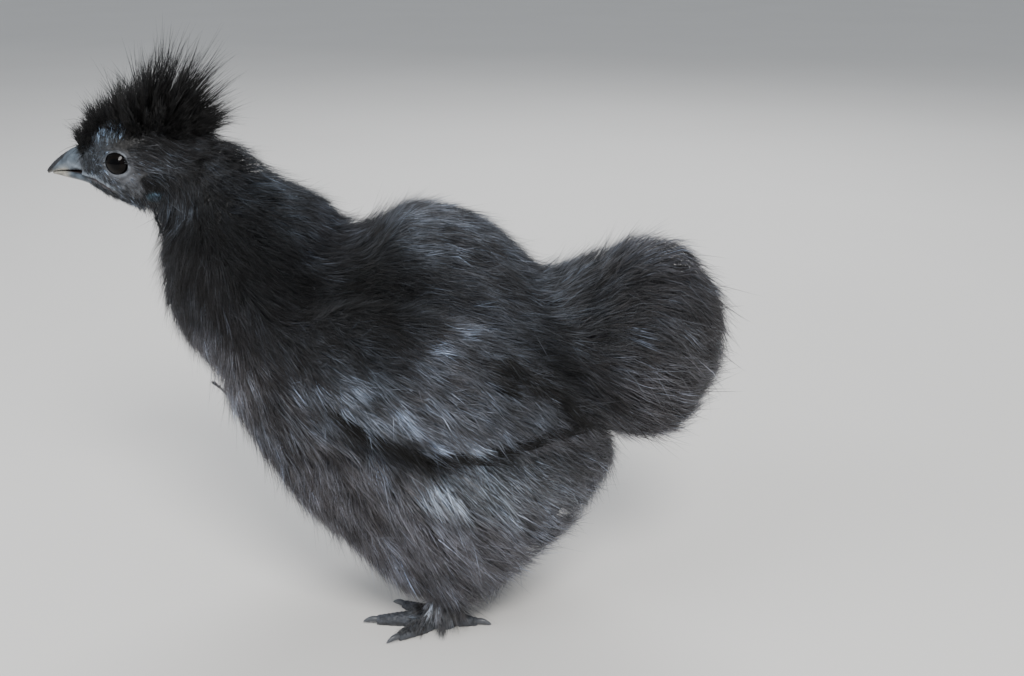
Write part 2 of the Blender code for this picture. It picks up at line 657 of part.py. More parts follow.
def make_thigh(sign, forms, neighbours):
    """The thigh's fluff, which hangs down and back in a cone over the shank."""
    form = forms[sided("thigh", sign)]
    core = Form(mirrored(THIGH, sign), rings=7, sides=12)
    thigh = core.mesh(sided("thigh", sign), "grey_down", THIGH_DEPTH)
    places = staggered(THIGH_ROWS, THIGH_ANGLES, 26, sign)

    def lie(point):
        return np.array((0.35, 0, -1.0))

    hidden = [forms[name].tree() for name in ("torso", "tail", sided("wing", sign))]
    locks = coat(form, THIGH_DEPTH, places, lie, THIGH_LOCK, hidden, (), 2.5 * MM)
    combine(thigh, locks, "UNION")
    combine(thigh, [other_half(sign)], "DIFFERENCE")
    return cut_clear(thigh, *neighbours)


def main():
    clear_scene()
    head_form = Form(HEAD)
    forms = {"neck": Form(NECK), "torso": Form(TORSO), "tail": Form(TAIL)}
    for sign in (1, -1):
        forms[sided("wing", sign)] = Form(mirrored(WING, sign))
        forms[sided("thigh", sign)] = Form(mirrored(THIGH, sign))
    head = make_head()
    soft = []
    for sign in (1, -1):
        eye, lobe = (EYE_X, sign * EYE_Y, EYE_Z), np.array(EARLOBE) * (1, sign, 1) * MM
        soft.append(ball(sided("eye", sign), eye, [EYE_RADIUS] * 3, "eye", 14, 8))
        earlobe = ball(sided("earlobe", sign), lobe, np.array(EARLOBE_SIZE) * MM, "earlobe", 10, 6)
        soft.append(cut_clear(earlobe, head))
    beak = make_beak(head)
    crest = make_crest(head, head_form)
    neck = make_neck(head, crest, soft, head_form, forms["torso"])
    wings = [make_wing(sign, neck) for sign in (1, -1)]
    torso = make_torso([neck, *wings], forms)
    tail = make_tail([torso, *wings], forms)
    nodes = [head, *soft, *beak, crest, neck, *wings, torso, tail]
    for sign in (1, -1):
        leg = make_leg(sign)
        nodes += [make_thigh(sign, forms, [torso, tail, *wings, *leg]), *leg]
    stand_on_origin(nodes)


main()
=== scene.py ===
import math

import bpy
import numpy as np
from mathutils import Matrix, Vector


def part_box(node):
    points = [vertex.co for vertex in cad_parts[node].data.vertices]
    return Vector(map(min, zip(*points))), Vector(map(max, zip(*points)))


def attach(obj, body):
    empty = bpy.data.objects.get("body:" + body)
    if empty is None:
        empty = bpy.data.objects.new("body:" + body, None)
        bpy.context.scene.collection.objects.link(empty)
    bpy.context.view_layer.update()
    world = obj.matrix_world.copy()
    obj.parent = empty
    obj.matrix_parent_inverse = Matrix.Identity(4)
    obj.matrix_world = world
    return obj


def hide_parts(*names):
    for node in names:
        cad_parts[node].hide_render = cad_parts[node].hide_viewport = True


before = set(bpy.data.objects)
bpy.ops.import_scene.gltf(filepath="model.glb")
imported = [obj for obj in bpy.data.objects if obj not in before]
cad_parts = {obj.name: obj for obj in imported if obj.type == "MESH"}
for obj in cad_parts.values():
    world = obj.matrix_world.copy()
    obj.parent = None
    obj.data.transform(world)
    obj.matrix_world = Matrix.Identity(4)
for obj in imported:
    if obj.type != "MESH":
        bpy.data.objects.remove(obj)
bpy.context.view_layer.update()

# The bird's place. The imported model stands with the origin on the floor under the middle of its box.
# Sizes below are in millimetres of the bird as it was drawn, which SHIFT, in metres, moves to that place.
MM = 0.001
EYE = np.array((-88.1, -8.2, 163.5))
eye_low, eye_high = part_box("eye_left")
SHIFT = (np.array(eye_low) + np.array(eye_high)) / 2 - EYE * MM

# The camera. It stands to the bird's left, a little above it, as the photographer did, and
# looks 20 degrees down at a point behind the wing.
ELEVATION = math.radians(20)
DISTANCE = 0.42
LOOK_AT = np.array((39.2, 0.0, 99.5)) * MM + SHIFT
camera = bpy.data.objects.new("camera", bpy.data.cameras.new("camera"))
camera.data.lens = 42.1875
camera.data.sensor_width = 36.0
camera.data.clip_start = 0.01
camera.location = LOOK_AT + DISTANCE * np.array((0.0, -math.cos(ELEVATION), math.sin(ELEVATION)))
camera.rotation_euler = (math.pi / 2 - ELEVATION, 0.0, 0.0)
bpy.context.scene.collection.objects.link(camera)
bpy.context.scene.camera = camera


def make_mesh(name, points, faces, uv=None, colours=None):
    """A smooth mesh from arrays of points and triangles, with its OFBake map and the plumage colours."""
    mesh = bpy.data.meshes.new(name)
    mesh.vertices.add(len(points))
    mesh.vertices.foreach_set("co", np.ascontiguousarray(points, np.float32).ravel())
    corners = np.ascontiguousarray(faces, np.int32).ravel()
    mesh.loops.add(len(corners))
    mesh.loops.foreach_set("vertex_index", corners)
    mesh.polygons.add(len(faces))
    mesh.polygons.foreach_set("loop_start", np.arange(0, len(corners), 3, dtype=np.int32))
    mesh.polygons.foreach_set("use_smooth", np.ones(len(faces), bool))
    if uv is not None:
        layer = mesh.uv_layers.new(name="OFBake")
        layer.data.foreach_set("uv", np.ascontiguousarray(uv[corners], np.float32).ravel())
    if colours is not None:
        attribute = mesh.attributes.new("plumage", "FLOAT_COLOR", "POINT")
        attribute.data.foreach_set("color", np.ascontiguousarray(colours, np.float32).ravel())
    mesh.update(calc_edges=True)
    made = bpy.data.objects.new(name, mesh)
    bpy.context.scene.collection.objects.link(made)
    return made


def add_node(tree, kind, settings=None, **inputs):
    """A shader node with its settings, and its inputs given as values or as sockets to link."""
    made = tree.nodes.new(kind)
    for key, value in (settings or {}).items():
        setattr(made, key, value)
    for key, value in inputs.items():
        socket = made.inputs[int(key[1:]) if key[0] == "_" else key.replace("_", " ")]
        if isinstance(value, bpy.types.NodeSocket):
            tree.links.new(value, socket)
        else:
            socket.default_value = value
    return made


def new_material(name, **constants):
    """A material with one Principled shader whose constant sockets are set on the shader itself."""
    material = bpy.data.materials.new(name)
    material.use_nodes = True
    shader = material.node_tree.nodes["Principled BSDF"]
    for key, value in constants.items():
        shader.inputs[key.replace("_", " ")].default_value = value
    return material, material.node_tree, shader


def new_group(name, inputs, outputs):
    """An empty shader node group with float, colour or vector sockets, and its two end nodes."""
    group = bpy.data.node_groups.new(name, "ShaderNodeTree")
    for label, kind, value in inputs:
        socket = group.interface.new_socket(label, in_out="INPUT", socket_type=kind)
        if value is not None:
            socket.default_value = value
    for label, kind in outputs:
        group.interface.new_socket(label, in_out="OUTPUT", socket_type=kind)
    return group, group.nodes.new("NodeGroupInput"), group.nodes.new("NodeGroupOutput")


# The floor and the light. A pale, dull floor, a broad soft lamp above the camera, a wide fill from
# the left, and a soft light behind the bird that brings out the fuzz of its outline. Only the lamp
# above shines in the eye.
FLOOR_SIZE = 14.0
LAMPS = [
    ("key", (0.20, -0.78, 0.90), 0.40, 13.0, (1.0, 0.99, 0.97)),
    ("fill", (-0.9, -0.5, 0.6), 0.8, 7.0, (0.93, 0.96, 1.0)),
    ("back", (0.2, 0.8, 0.9), 0.7, 9.0, (0.95, 0.97, 1.0)),
]
corner = FLOOR_SIZE / 2
floor = make_mesh(
    "floor",
    np.array([(-corner, -corner, 0.0), (corner, -corner, 0.0), (corner, corner, 0.0), (-corner, corner, 0.0)]),
    np.array([(0, 1, 2), (0, 2, 3)]),
)
material, tree, shader = new_material("pale_floor", Roughness=0.9)
place = add_node(tree, "ShaderNodeTexCoord")
mottle = add_node(tree, "ShaderNodeTexNoise", Vector=place.outputs["Object"], Scale=5.0, Detail=3.0)
tone = add_node(
    tree, "ShaderNodeMix", {"data_type": "RGBA"},
    _0=mottle.outputs["Fac"], _6=(0.66, 0.64, 0.61, 1.0), _7=(0.71, 0.69, 0.66, 1.0),
)
tree.links.new(tone.outputs[2], shader.inputs["Base Color"])
floor.data.materials.append(material)
for label, spot, size, power, colour in LAMPS:
    lamp = bpy.data.objects.new(f"{label}_light", bpy.data.lights.new(label, "AREA"))
    lamp.data.shape = "DISK"
    lamp.data.size = size
    lamp.data.energy = power
    lamp.data.color = colour
    lamp.visible_glossy = label == "key"
    lamp.location = spot
    away = np.array(spot) - np.array((0.0, 0.0, 0.1))
    flat = math.hypot(away[0], away[1])
    lamp.rotation_euler = (math.atan2(flat, away[2]), 0.0, math.atan2(away[1], away[0]) + math.pi / 2)
    bpy.context.scene.collection.objects.link(lamp)
world = bpy.data.worlds.new("soft_room")
world.use_nodes = True
world.node_tree.nodes["Background"].inputs["Color"].default_value = (0.86, 0.92, 1.0, 1.0)
world.node_tree.nodes["Background"].inputs["Strength"].default_value = 0.55
bpy.context.scene.world = world


# The skin. One slate-grey hide runs over the whole bird: the head with its lids, ear and earlobe,
# the body under its down, and the scaled legs and toes. It lies under the coat by the coat's depth.
class Form:
    """An oval tube through stations of (x, y, z, half width, half height), in millimetres.

    A point is centre(u) + across(u) wide(u) cos(angle) + up(u) high(u) sin(angle), where u runs
    from 0 to 1 along a smooth curve through the stations.
    """

    FINE = 96

    def __init__(self, stations, side=(0.0, 1.0, 0.0)):
        rows = np.array(stations, float)
        ends = np.vstack([2 * rows[0] - rows[1], rows, 2 * rows[-1] - rows[-2]])
        at = np.linspace(0.0, len(rows) - 1.0, self.FINE)
        first = np.minimum(at.astype(int), len(rows) - 2)
        t = (at - first)[:, None]
        a, b, c, d = (ends[first + k] for k in range(4))
        curve = 0.5 * (2 * b + (c - a) * t + (2 * a - 5 * b + 4 * c - d) * t**2 + (3 * b - a - 3 * c + d) * t**3)
        self.rows = curve * MM
        self.rows[:, :3] += SHIFT
        self.centre = self.rows[:, :3]
        along = np.gradient(self.centre, axis=0)
        self.along = along / np.linalg.norm(along, axis=1)[:, None]
        side = np.array(side, float)
        across = side - (self.along @ side)[:, None] * self.along
        self.across = across / np.linalg.norm(across, axis=1)[:, None]
        self.up = np.cross(self.along, self.across)
        upward = np.array((0, 0, 1.0)) if abs(self.along[:, 2].mean()) < 0.75 else np.array((1.0, 0, 0))
        self.up *= np.where(self.up @ upward < 0, -1, 1)[:, None]

    def at(self, u, angle, inset=0.0):
        """Points a share u of the way along, at angles in degrees from side towards up."""
        place = np.clip(u, 0.0, 1.0) * (self.FINE - 1)
        low = np.minimum(place.astype(int), self.FINE - 2)
        t = (place - low)[..., None]
        row, across, up = (v[low] * (1 - t) + v[low + 1] * t for v in (self.rows, self.across, self.up))
        turn = np.radians(angle)[..., None]
        wide = np.maximum(row[..., 3:4] - inset, 0.4 * MM)
        high = np.maximum(row[..., 4:5] - inset, 0.4 * MM)
        return row[..., :3] + across * wide * np.cos(turn) + up * high * np.sin(turn)

    def normal(self, u, angle):
        """The way out of the surface: the cross product of its two slopes, turned away from the middle."""
        u = np.clip(u, 0.01, 0.99)
        along = self.at(u + 0.01, angle) - self.at(u - 0.01, angle)
        around = self.at(u, angle + 1.0) - self.at(u, angle - 1.0)
        out = np.cross(along, around)
        out /= np.linalg.norm(out, axis=-1)[..., None] + 1e-12
        middle = self.at(u, angle) - self.at(u, angle + 180.0)
        return out * np.where((out * middle).sum(-1) < 0, -1, 1)[..., None]

    def locate(self, points):
        """The u and angle of points, and how deep they are under the outline, below 0 outside it."""
        apart = points[:, None, :] - self.centre[None]
        s = (apart * self.along).sum(-1)
        away = np.linalg.norm(apart, axis=-1)
        near = np.argmin(np.abs(s) + 0.15 * away, axis=1)
        pick = np.arange(len(points))
        step = np.linalg.norm(np.gradient(self.centre, axis=0), axis=1)[near]
        beyond = s[pick, near]
        u = (near + np.clip(beyond / step, -0.5, 0.5)) / (self.FINE - 1)
        reach = apart[pick, near]
        x = (reach * self.across[near]).sum(-1) / self.rows[near, 3]
        y = (reach * self.up[near]).sum(-1) / self.rows[near, 4]
        share = np.hypot(x, y) + 1e-9
        flat = np.sqrt(np.maximum(away[pick, near] ** 2 - beyond**2, 0.0))
        deep = flat * (1 / share - 1)
        outside = np.maximum(np.abs(beyond) - step, 0.0)
        deep = np.where(outside > 0, np.minimum(deep, -outside), deep)
        return u, np.degrees(np.arctan2(y, x)), deep

    def rings(self, count, sides, inset=0.0, start=0.0, end=1.0):
        """A grid of points over the surface, count rings of so many sides."""
        u, angle = np.meshgrid(np.linspace(start, end, count), np.arange(sides) * 360.0 / sides, indexing="ij")
        return self.at(u, angle, inset), u, angle


def closed_tube(rings):
    """Points and triangles of a grid of rings, closed at both ends by a fan on its middle point, facing out."""
    count, sides = rings.shape[:2]
    points = np.vstack([rings.reshape(-1, 3), rings[0].mean(0), rings[-1].mean(0)])
    i, j = np.meshgrid(np.arange(count - 1), np.arange(sides), indexing="ij")
    a, b = (i * sides + j).ravel(), (i * sides + (j + 1) % sides).ravel()
    around = np.arange(sides)
    first, last = np.full(sides, count * sides), np.full(sides, count * sides + 1)
    end = (count - 1) * sides
    faces = np.vstack([
        np.stack([a, b, b + sides], 1), np.stack([a, b + sides, a + sides], 1),
        np.stack([first, (around + 1) % sides, around], 1),
        np.stack([last, end + around, end + (around + 1) % sides], 1),
    ])
    p = points[faces]
    volume = (p[:, 0] * np.cross(p[:, 1], p[:, 2])).sum()
    return points, faces if volume > 0 else faces[:, ::-1]


def joined(parts):
    """Several (points, faces) as one."""
    starts = np.cumsum([0] + [len(points) for points, _ in parts[:-1]])
    return np.vstack([p for p, _ in parts]), np.vstack([f + s for (_, f), s in zip(parts, starts)])


def mirrored(stations, sign):
    """The stations of a form on the bird's right (sign 1) or left (sign -1)."""
    return [(x, sign * y, z, w, h) for x, y, z, w, h in stations]


HEAD = [
    (-102.3, 0, 161.5, 5.4, 6.6), (-98, 0, 162, 8.2, 9.6), (-93, 0, 162.4, 11, 12.5),
    (-87, 0, 162.8, 12.8, 14.8), (-80, 0, 162.8, 13.6, 15.2), (-73, 0, 162.6, 12.6, 13.4),
    (-67.5, 0, 162.5, 9, 9.5), (-64.5, 0, 162.5, 4, 4),
]
CREST = [
    (-98, 0, 173, 4, 4), (-94, 0, 175, 11, 8), (-88.5, 0, 178.5, 15, 12), (-81, 0, 183.5, 18, 17),
    (-73, 0, 184, 20, 19.5), (-65.5, 0, 180, 18, 20), (-60, 0, 175, 13, 14), (-56.5, 0, 172, 6, 7),
]
NECK = [
    (-74, 0, 163, 11, 15), (-70, 0, 157.5, 14, 17.5), (-62.5, 0, 150.8, 18, 20.5), (-57, 0, 141.8, 25, 25.2),
    (-51.5, 0, 132.5, 31, 31.5), (-45, 0, 122, 34, 32.5), (-39, 0, 115, 32, 30),
]
TORSO = [
    (-76, 0, 117, 6, 6), (-71.5, 0, 116, 15, 12.5), (-62, 0, 114, 27, 19.5), (-49, 0, 111.5, 35, 29),
    (-36, 0, 104.5, 42, 38.5), (-19, 0, 96, 47, 52), (0, 0, 91.5, 48, 56.5), (15, 0, 92, 46, 56),
    (30, 0, 92, 44, 50), (45, 0, 92.5, 38, 38.5), (58, 0, 94.5, 28, 25), (66, 0, 97, 15, 13),
]
TAIL = [
    (48, 0, 104, 18, 17), (58, 0, 103, 26, 25), (70, 0, 101, 32, 31), (84, 0, 100, 34, 35.5),
    (96, 0, 98, 31, 33), (105, 0, 97, 23, 24), (110, 0, 96, 11, 12),
]
WING = [
    (-27, 38, 113, 4, 8), (-19, 42, 110, 6.5, 17), (-5, 44.5, 104.5, 8, 23), (12, 46, 99, 8, 24.5),
    (30, 45, 94.5, 7, 21), (48, 42, 88, 5, 15), (62, 37.5, 82.5, 3, 9), (70, 34.5, 80, 1.8, 4.5),
]
THIGH = [
    (16, 25, 90, 18, 36), (17, 24, 68, 25, 57), (18.5, 23, 48, 24, 48.5), (19, 23, 33, 20, 36),
    (19.5, 24, 20, 14.5, 24), (20, 25, 12.5, 9, 14), (20, 25, 8.5, 5, 7),
]
SHANK = [(15.5, 25, 24, 4.5, 4.5), (15.5, 25, 17, 4.2, 4.4), (15, 25, 10, 4.2, 4.4)]
FOOT = [(15, 25, 10.5, 4.3, 4.5), (15, 25, 5, 4.7, 4.9), (15, 25, 0, 4.6, 4.8)]
TOES = [
    ("inner", -32, 18, 2.4, 0.0, 0.0), ("middle", 2, 24, 2.7, 0.0, 0.0), ("outer", 36, 19, 2.4, 0.0, 0.0),
    ("hind", 172, 12, 2.2, 0.0, 0.0), ("fifth", -148, 9, 1.7, 5.0, 3.2),
]
TOE_PADS = [(0.0, 1.1, 0.64), (0.3, 1.0, 0.64), (0.5, 1.12, 0.62), (0.75, 0.9, 0.75), (1.0, 0.62, 1.05)]
TOE_FLATNESS = 0.92
NECK_DEPTH, TORSO_DEPTH, TAIL_DEPTH, WING_DEPTH, THIGH_DEPTH = 6.0, 5.5, 9.0, 2.5, 8.0
EAR = np.array((-77.5, 157.5))
EARLOBE = np.array((-77.0, 152.4))
GAPE = np.array([(-104, 158.2), (-97, 157.3), (-91.8, 154.2)])

forms = {"head": Form(HEAD), "crest": Form(CREST), "neck": Form(NECK), "torso": Form(TORSO), "tail": Form(TAIL)}
for label, sign in (("right", 1), ("left", -1)):
    forms[f"wing_{label}"] = Form(mirrored(WING, sign))
    forms[f"thigh_{label}"] = Form(mirrored(THIGH, sign))


def drawn(points):
    """Points back in the millimetres of the bird as it was drawn."""
    return (points - SHIFT) / MM


def step_up(value, low, high):
    """0 below low and 1 above high, with a smooth S between them."""
    t = np.clip((value - low) / (high - low), 0.0, 1.0)
    return t * t * (3 - 2 * t)


def bump_at(distance, width):
    """A rounded bump, exp(-(distance / width) squared)."""
    return np.exp(-((distance / width) ** 2))


def off_line(x, z, line):
    """The distance of points from a bent line, in the side view."""
    apart = []
    for a, b in zip(line[:-1], line[1:]):
        way = b - a
        t = np.clip(((x - a[0]) * way[0] + (z - a[1]) * way[1]) / (way @ way), 0, 1)
        apart.append(np.hypot(x - a[0] - way[0] * t, z - a[1] - way[1] * t))
    return np.min(apart, axis=0)


def eye_distance(x, z):
    """The distance from the eye's middle, drawn out towards the corners of the lids in front and behind."""
    dx, dz = x - EYE[0], z - EYE[2]
    r = np.hypot(dx, dz) + 1e-9
    corner = np.maximum((-0.92 * dx + 0.38 * dz) / r, 0.0)
    back_corner = np.maximum((0.90 * dx - 0.44 * dz) / r, 0.0)
    return r / (1 + 0.10 * corner**5 + 0.04 * back_corner**6)


def face_relief(points):
    """How far the skin of the head stands out, in millimetres, from the sum of rounded bumps and folds."""
    x, y, z = drawn(points).T
    side = step_up(np.abs(y), 2.0, 5.0)
    r = eye_distance(x, z)
    socket = -4.2 * (1 - step_up(r, 2.95, 3.45))
    lid = -0.72 * (1 - step_up(r, 3.45, 5.2)) * step_up(r, 2.95, 3.45)
    rim = 0.34 * bump_at(r - 3.85, 0.36) + 0.12 * bump_at(r - 4.8, 0.25) + 0.08 * bump_at(r - 5.5, 0.25)
    brow = 0.75 * bump_at(z - 170.0 - 0.12 * (x + 88), 1.7) * bump_at(x + 86.5, 7.5)
    cheek = 0.7 * bump_at(np.hypot(x + 82, z - 154.5), 5.0)
    lore = -0.7 * bump_at(np.hypot((x + 97) / 1.3, z - 163.2), 2.3)
    ear = -1.7 * bump_at(np.hypot(x - EAR[0], z - EAR[1]), 2.0)
    ear_rim = 0.45 * bump_at(np.hypot(x - EAR[0], z - EAR[1]) - 3.3, 0.8)
    lobe_r = np.hypot((x - EARLOBE[0]) / 3.6, (z - EARLOBE[1]) / 2.5)
    lobe = 1.5 * np.sqrt(np.clip(1 - lobe_r**2, 0, 1)) + 0.12 * np.sin(x * 4.1 + z * 2.3) * (lobe_r < 0.9)
    apart = off_line(x, z, GAPE)
    fold = bump_at(apart - 1.0, 0.55) * (z > np.interp(x, GAPE[:, 0], GAPE[:, 1]))
    gape = -0.75 * bump_at(apart, 0.34) + 0.55 * fold
    wrinkle = 0.05 * np.sin(2.6 * r + 1.5 * np.sin(0.9 * x)) * bump_at(r - 7.5, 2.6)
    return side * (socket + lid + rim + brow + cheek + lore + ear + ear_rim + lobe + gape + wrinkle)


def scutes(u, angle, length, top):
    """Rows of overlapping plates over the upper side, a saw of 1.5 mm steps with rounded edges."""
    run = (u * length / 1.5) % 1.0
    plate = 0.26 * (1 - run) ** 0.6 * step_up(run, 0.0, 0.12)
    upper = step_up(np.sin(np.radians(angle)) * top, -0.1, 0.5)
    pads = 0.10 * np.sin(u * length * 2.4) * np.sin(np.radians(angle * 7))
    return (plate * upper + pads * (1 - upper)) * MM


def raised(rings, amount):
    """A grid of rings moved out along its own normals, from the cross product of its slopes, by amount."""
    around = np.roll(rings, -1, 1) - np.roll(rings, 1, 1)
    out = np.cross(np.gradient(rings, axis=0), around)
    out /= np.linalg.norm(out, axis=-1)[..., None] + 1e-12
    middle = rings - rings.mean(1, keepdims=True)
    out *= np.where((out * middle).sum() < 0, -1, 1)
    return rings + out * amount[..., None]


def toe_rows(sign, angle, length, width, root_z, rise):
    """The stations of one toe, which lies on its pads and runs out at an angle from the leg."""
    turn = math.radians(angle)
    way = np.array((-math.cos(turn), sign * math.sin(turn), 0.0))
    root = np.array((FOOT[0][0], sign * FOOT[0][1], root_z))
    rows = []
    for share, fat, height in TOE_PADS:
        thick = width * fat * TOE_FLATNESS
        centre = root + way * length * share + (0, 0, height * thick + rise * share)
        rows.append((*centre, width * fat, thick))
    return rows, way


head_u = np.concatenate([np.linspace(0.0, 0.62, 150), np.linspace(0.63, 1.0, 30)])
head_angle = np.arange(200) * 360.0 / 200
u, angle = np.meshgrid(head_u, head_angle, indexing="ij")
head_rings = forms["head"].at(u, angle)
relief = face_relief(head_rings.reshape(-1, 3)).reshape(u.shape)
skin_parts = [closed_tube(raised(head_rings, relief * MM))]

body_parts = []
for label, inset in (
    ("head", 1.2), ("neck", NECK_DEPTH), ("torso", TORSO_DEPTH), ("tail", TAIL_DEPTH),
    ("wing_right", WING_DEPTH), ("wing_left", WING_DEPTH),
    ("thigh_right", THIGH_DEPTH), ("thigh_left", THIGH_DEPTH),
):
    rings, _, _ = forms[label].rings(60, 48, inset * MM)
    rings[..., 2] = np.maximum(rings[..., 2], 9 * MM)
    body_parts.append(closed_tube(rings))
rough_body = make_mesh("rough_body", *joined(body_parts))
remesh = rough_body.modifiers.new("one hide", "REMESH")
remesh.mode = "VOXEL"
remesh.voxel_size = 1.7 * MM
smoothing = rough_body.modifiers.new("soft hide", "SMOOTH")
smoothing.factor = 0.5
smoothing.iterations = 6
bpy.context.view_layer.update()
hide = bpy.data.meshes.new_from_object(rough_body.evaluated_get(bpy.context.evaluated_depsgraph_get()))
hide.calc_loop_triangles()
hide_points = np.zeros(len(hide.vertices) * 3)
hide.vertices.foreach_get("co", hide_points)
hide_faces = np.zeros(len(hide.loop_triangles) * 3, np.int32)
hide.loop_triangles.foreach_get("vertices", hide_faces)
skin_parts.append((hide_points.reshape(-1, 3), hide_faces.reshape(-1, 3)))
bpy.data.objects.remove(rough_body)
bpy.data.meshes.remove(hide)

leg_parts = []
for sign in (1, -1):
    for stations, length in ((SHANK, 14.0), (FOOT, 10.0)):
        rings, u, angle = Form(mirrored(stations, sign)).rings(40, 32)
        rings = raised(rings, scutes(u, angle + 90, length, -1))
        rings[..., 2] = np.maximum(rings[..., 2], 0.0)
        leg_parts.append(closed_tube(rings))
    for _, turn, length, width, root_z, rise in TOES:
        rows, way = toe_rows(sign, turn, length, width, root_z, rise)
        rings, u, angle = Form(rows, side=np.cross(way, (0, 0, 1))).rings(70, 22)
        rings = raised(rings, scutes(u, angle, length, 1))
        rings[..., 2] = np.maximum(rings[..., 2], 0.0)
        leg_parts.append(closed_tube(rings))
skin_parts += leg_parts

PLUMAGE = [
    # side view x and z, how far it spreads, and the colour, for each part of the bird; the near-black rows at the
    # shoulders are painted shade, and the light rows on the top of the back and below the wing are painted highlights
    (-97, 177, 7, (0.009, 0.009, 0.010)), (-86, 183, 10, (0.008, 0.008, 0.009)),
    (-74, 186, 12, (0.008, 0.008, 0.008)), (-61, 178, 10, (0.011, 0.010, 0.010)),
    (-94, 173, 3.6, (0.050, 0.056, 0.064)), (-98, 164, 5, (0.066, 0.074, 0.086)),
    (-86, 157, 6, (0.092, 0.096, 0.108)), (-89, 150, 5, (0.072, 0.077, 0.087)),
    (-85, 170.5, 3.2, (0.013, 0.012, 0.011)), (-77, 158, 3.6, (0.016, 0.015, 0.014)),
    (-76, 166, 5, (0.056, 0.055, 0.058)), (-65, 164, 7, (0.040, 0.040, 0.042)),
    (-60, 169, 6, (0.028, 0.028, 0.030)), (-80, 146, 4.5, (0.026, 0.026, 0.028)),
    (-70, 153, 5, (0.066, 0.070, 0.079)), (-51, 163, 7, (0.034, 0.036, 0.041)),
    (-39, 156, 8, (0.056, 0.061, 0.070)),
    (-58, 150, 11, (0.0034, 0.0032, 0.0032)), (-44, 141, 13, (0.0026, 0.0025, 0.0026)),
    (-66, 132, 10, (0.026, 0.025, 0.026)), (-57, 120, 11, (0.020, 0.019, 0.021)),
    # the light bluish colour at (5, 149) is a painted highlight where the top of the back faces the light above
    (-20, 147, 10, (0.048, 0.049, 0.056)), (5, 149, 11, (0.170, 0.180, 0.205)),
    # the near-black colours at (-12, 133) and (2, 136) are painted shade in the hollows between feather groups behind
    # the shoulders
    (-12, 133, 12, (0.0050, 0.0047, 0.0046)), (2, 136, 11, (0.0030, 0.0029, 0.0030)),
    (26, 141, 13, (0.076, 0.079, 0.089)), (36, 132, 13, (0.072, 0.074, 0.083)),
    # the near-black colour at (-3, 111) is painted shade in a hollow at the shoulder
    (48, 125, 12, (0.074, 0.078, 0.088)), (-3, 111, 10, (0.0034, 0.0032, 0.0032)),
    (-46, 116, 10, (0.0085, 0.0083, 0.0090)), (-27, 112, 9, (0.022, 0.022, 0.024)),
    (-58, 104, 12, (0.148, 0.140, 0.148)), (-39, 91, 14, (0.088, 0.086, 0.094)),
    (-12, 96, 12, (0.140, 0.152, 0.178)), (14, 101, 13, (0.144, 0.150, 0.172)),
    (31, 103, 11, (0.070, 0.074, 0.086)), (36, 119, 11, (0.062, 0.064, 0.072)),
    (57, 98, 7, (0.052, 0.052, 0.058)),
    # the light colours at z 65 to 66 are a painted highlight where the fluff below the wing's edge catches the light
    (12, 65, 6, (0.330, 0.355, 0.400)), (28, 66, 8, (0.350, 0.390, 0.440)), (44, 66, 6, (0.240, 0.255, 0.280)),
    (-20, 65, 14, (0.104, 0.098, 0.105)),
    (19, 45, 18, (0.142, 0.136, 0.150)), (42, 61, 14, (0.108, 0.107, 0.118)),
    (8, 20, 14, (0.100, 0.094, 0.102)), (74, 122, 16, (0.042, 0.041, 0.045)),
    (58, 117, 15, (0.0045, 0.0042, 0.0042)), (84, 90, 16, (0.070, 0.066, 0.070)),
    (64, 127, 6, (0.060, 0.061, 0.066)), (104, 100, 14, (0.044, 0.040, 0.040)),
]
# the line along which the dark flight feathers show, with painted shade below the wing's edge: under the wing, to its
# tip, and up behind it
FLIGHT_EDGE = np.array([
    (-16, 84), (2, 81), (13, 74), (26, 74.5), (50, 75), (61, 77), (69, 83), (62, 90), (55, 98), (48, 105), (41, 112),
])
FLIGHT_DARK_AND_SHADE = np.array((0.0055, 0.0051, 0.0050))


def plumage(points):
    """The coat's and skin's colour at points: a mean of PLUMAGE weighted by exp(-(distance / spread) squared).

    Over it lies the dark of the flight feathers with painted shade below the wing's edge, broader in front, within some
    millimetres of FLIGHT_EDGE.
    """
    x, y, z = drawn(points).T
    total, weight = np.zeros((len(points), 3)), np.zeros(len(points))
    for px, pz, spread, colour in PLUMAGE:
        far = np.hypot(x - px, z - pz)
        w = bump_at(far, spread) + 1e-4 / (1 + far)
        total += w[:, None] * np.array(colour)
        weight += w
    breadth = 2.6 + 2.6 * step_up(-x, -14, 0)
    # edge: how much of the flight feathers' dark and of the painted shade below the wing's edge lies on a point
    edge = bump_at(off_line(x, z, FLIGHT_EDGE) / breadth, 1.0) * step_up(np.abs(y), 20, 30)
    return painted(total / weight[:, None], FLIGHT_DARK_AND_SHADE, 0.94 * edge)


SLATE = np.array((0.036, 0.039, 0.046))
LID_GREY = np.array((0.125, 0.134, 0.150))
TURQUOISE = 0.75 * np.array((0.052, 0.105, 0.145))
GAPE_PINK = np.array((0.10, 0.066, 0.062))
FOLD_BLUE = np.array((0.165, 0.195, 0.230))


def painted(base, colour, amount):
    """base with a colour laid over it by amount, from 0 to 1."""
    amount = np.clip(amount, 0, 1)[:, None]
    return base * (1 - amount) + colour * amount


points, faces = joined(skin_parts)
x, y, z = drawn(points).T
head_count, leg_count = len(skin_parts[0][0]), sum(len(p) for p, _ in leg_parts)
# the hide is the plumage darkened to 0.6, painted shade of the coat over it; the head's skin is brought back to 0.75
colour = plumage(points) * 0.6
face = colour[:head_count] * 1.25
r = eye_distance(x[:head_count], z[:head_count])
hx, hz = x[:head_count], z[:head_count]
side = step_up(np.abs(y[:head_count]), 4, 7)
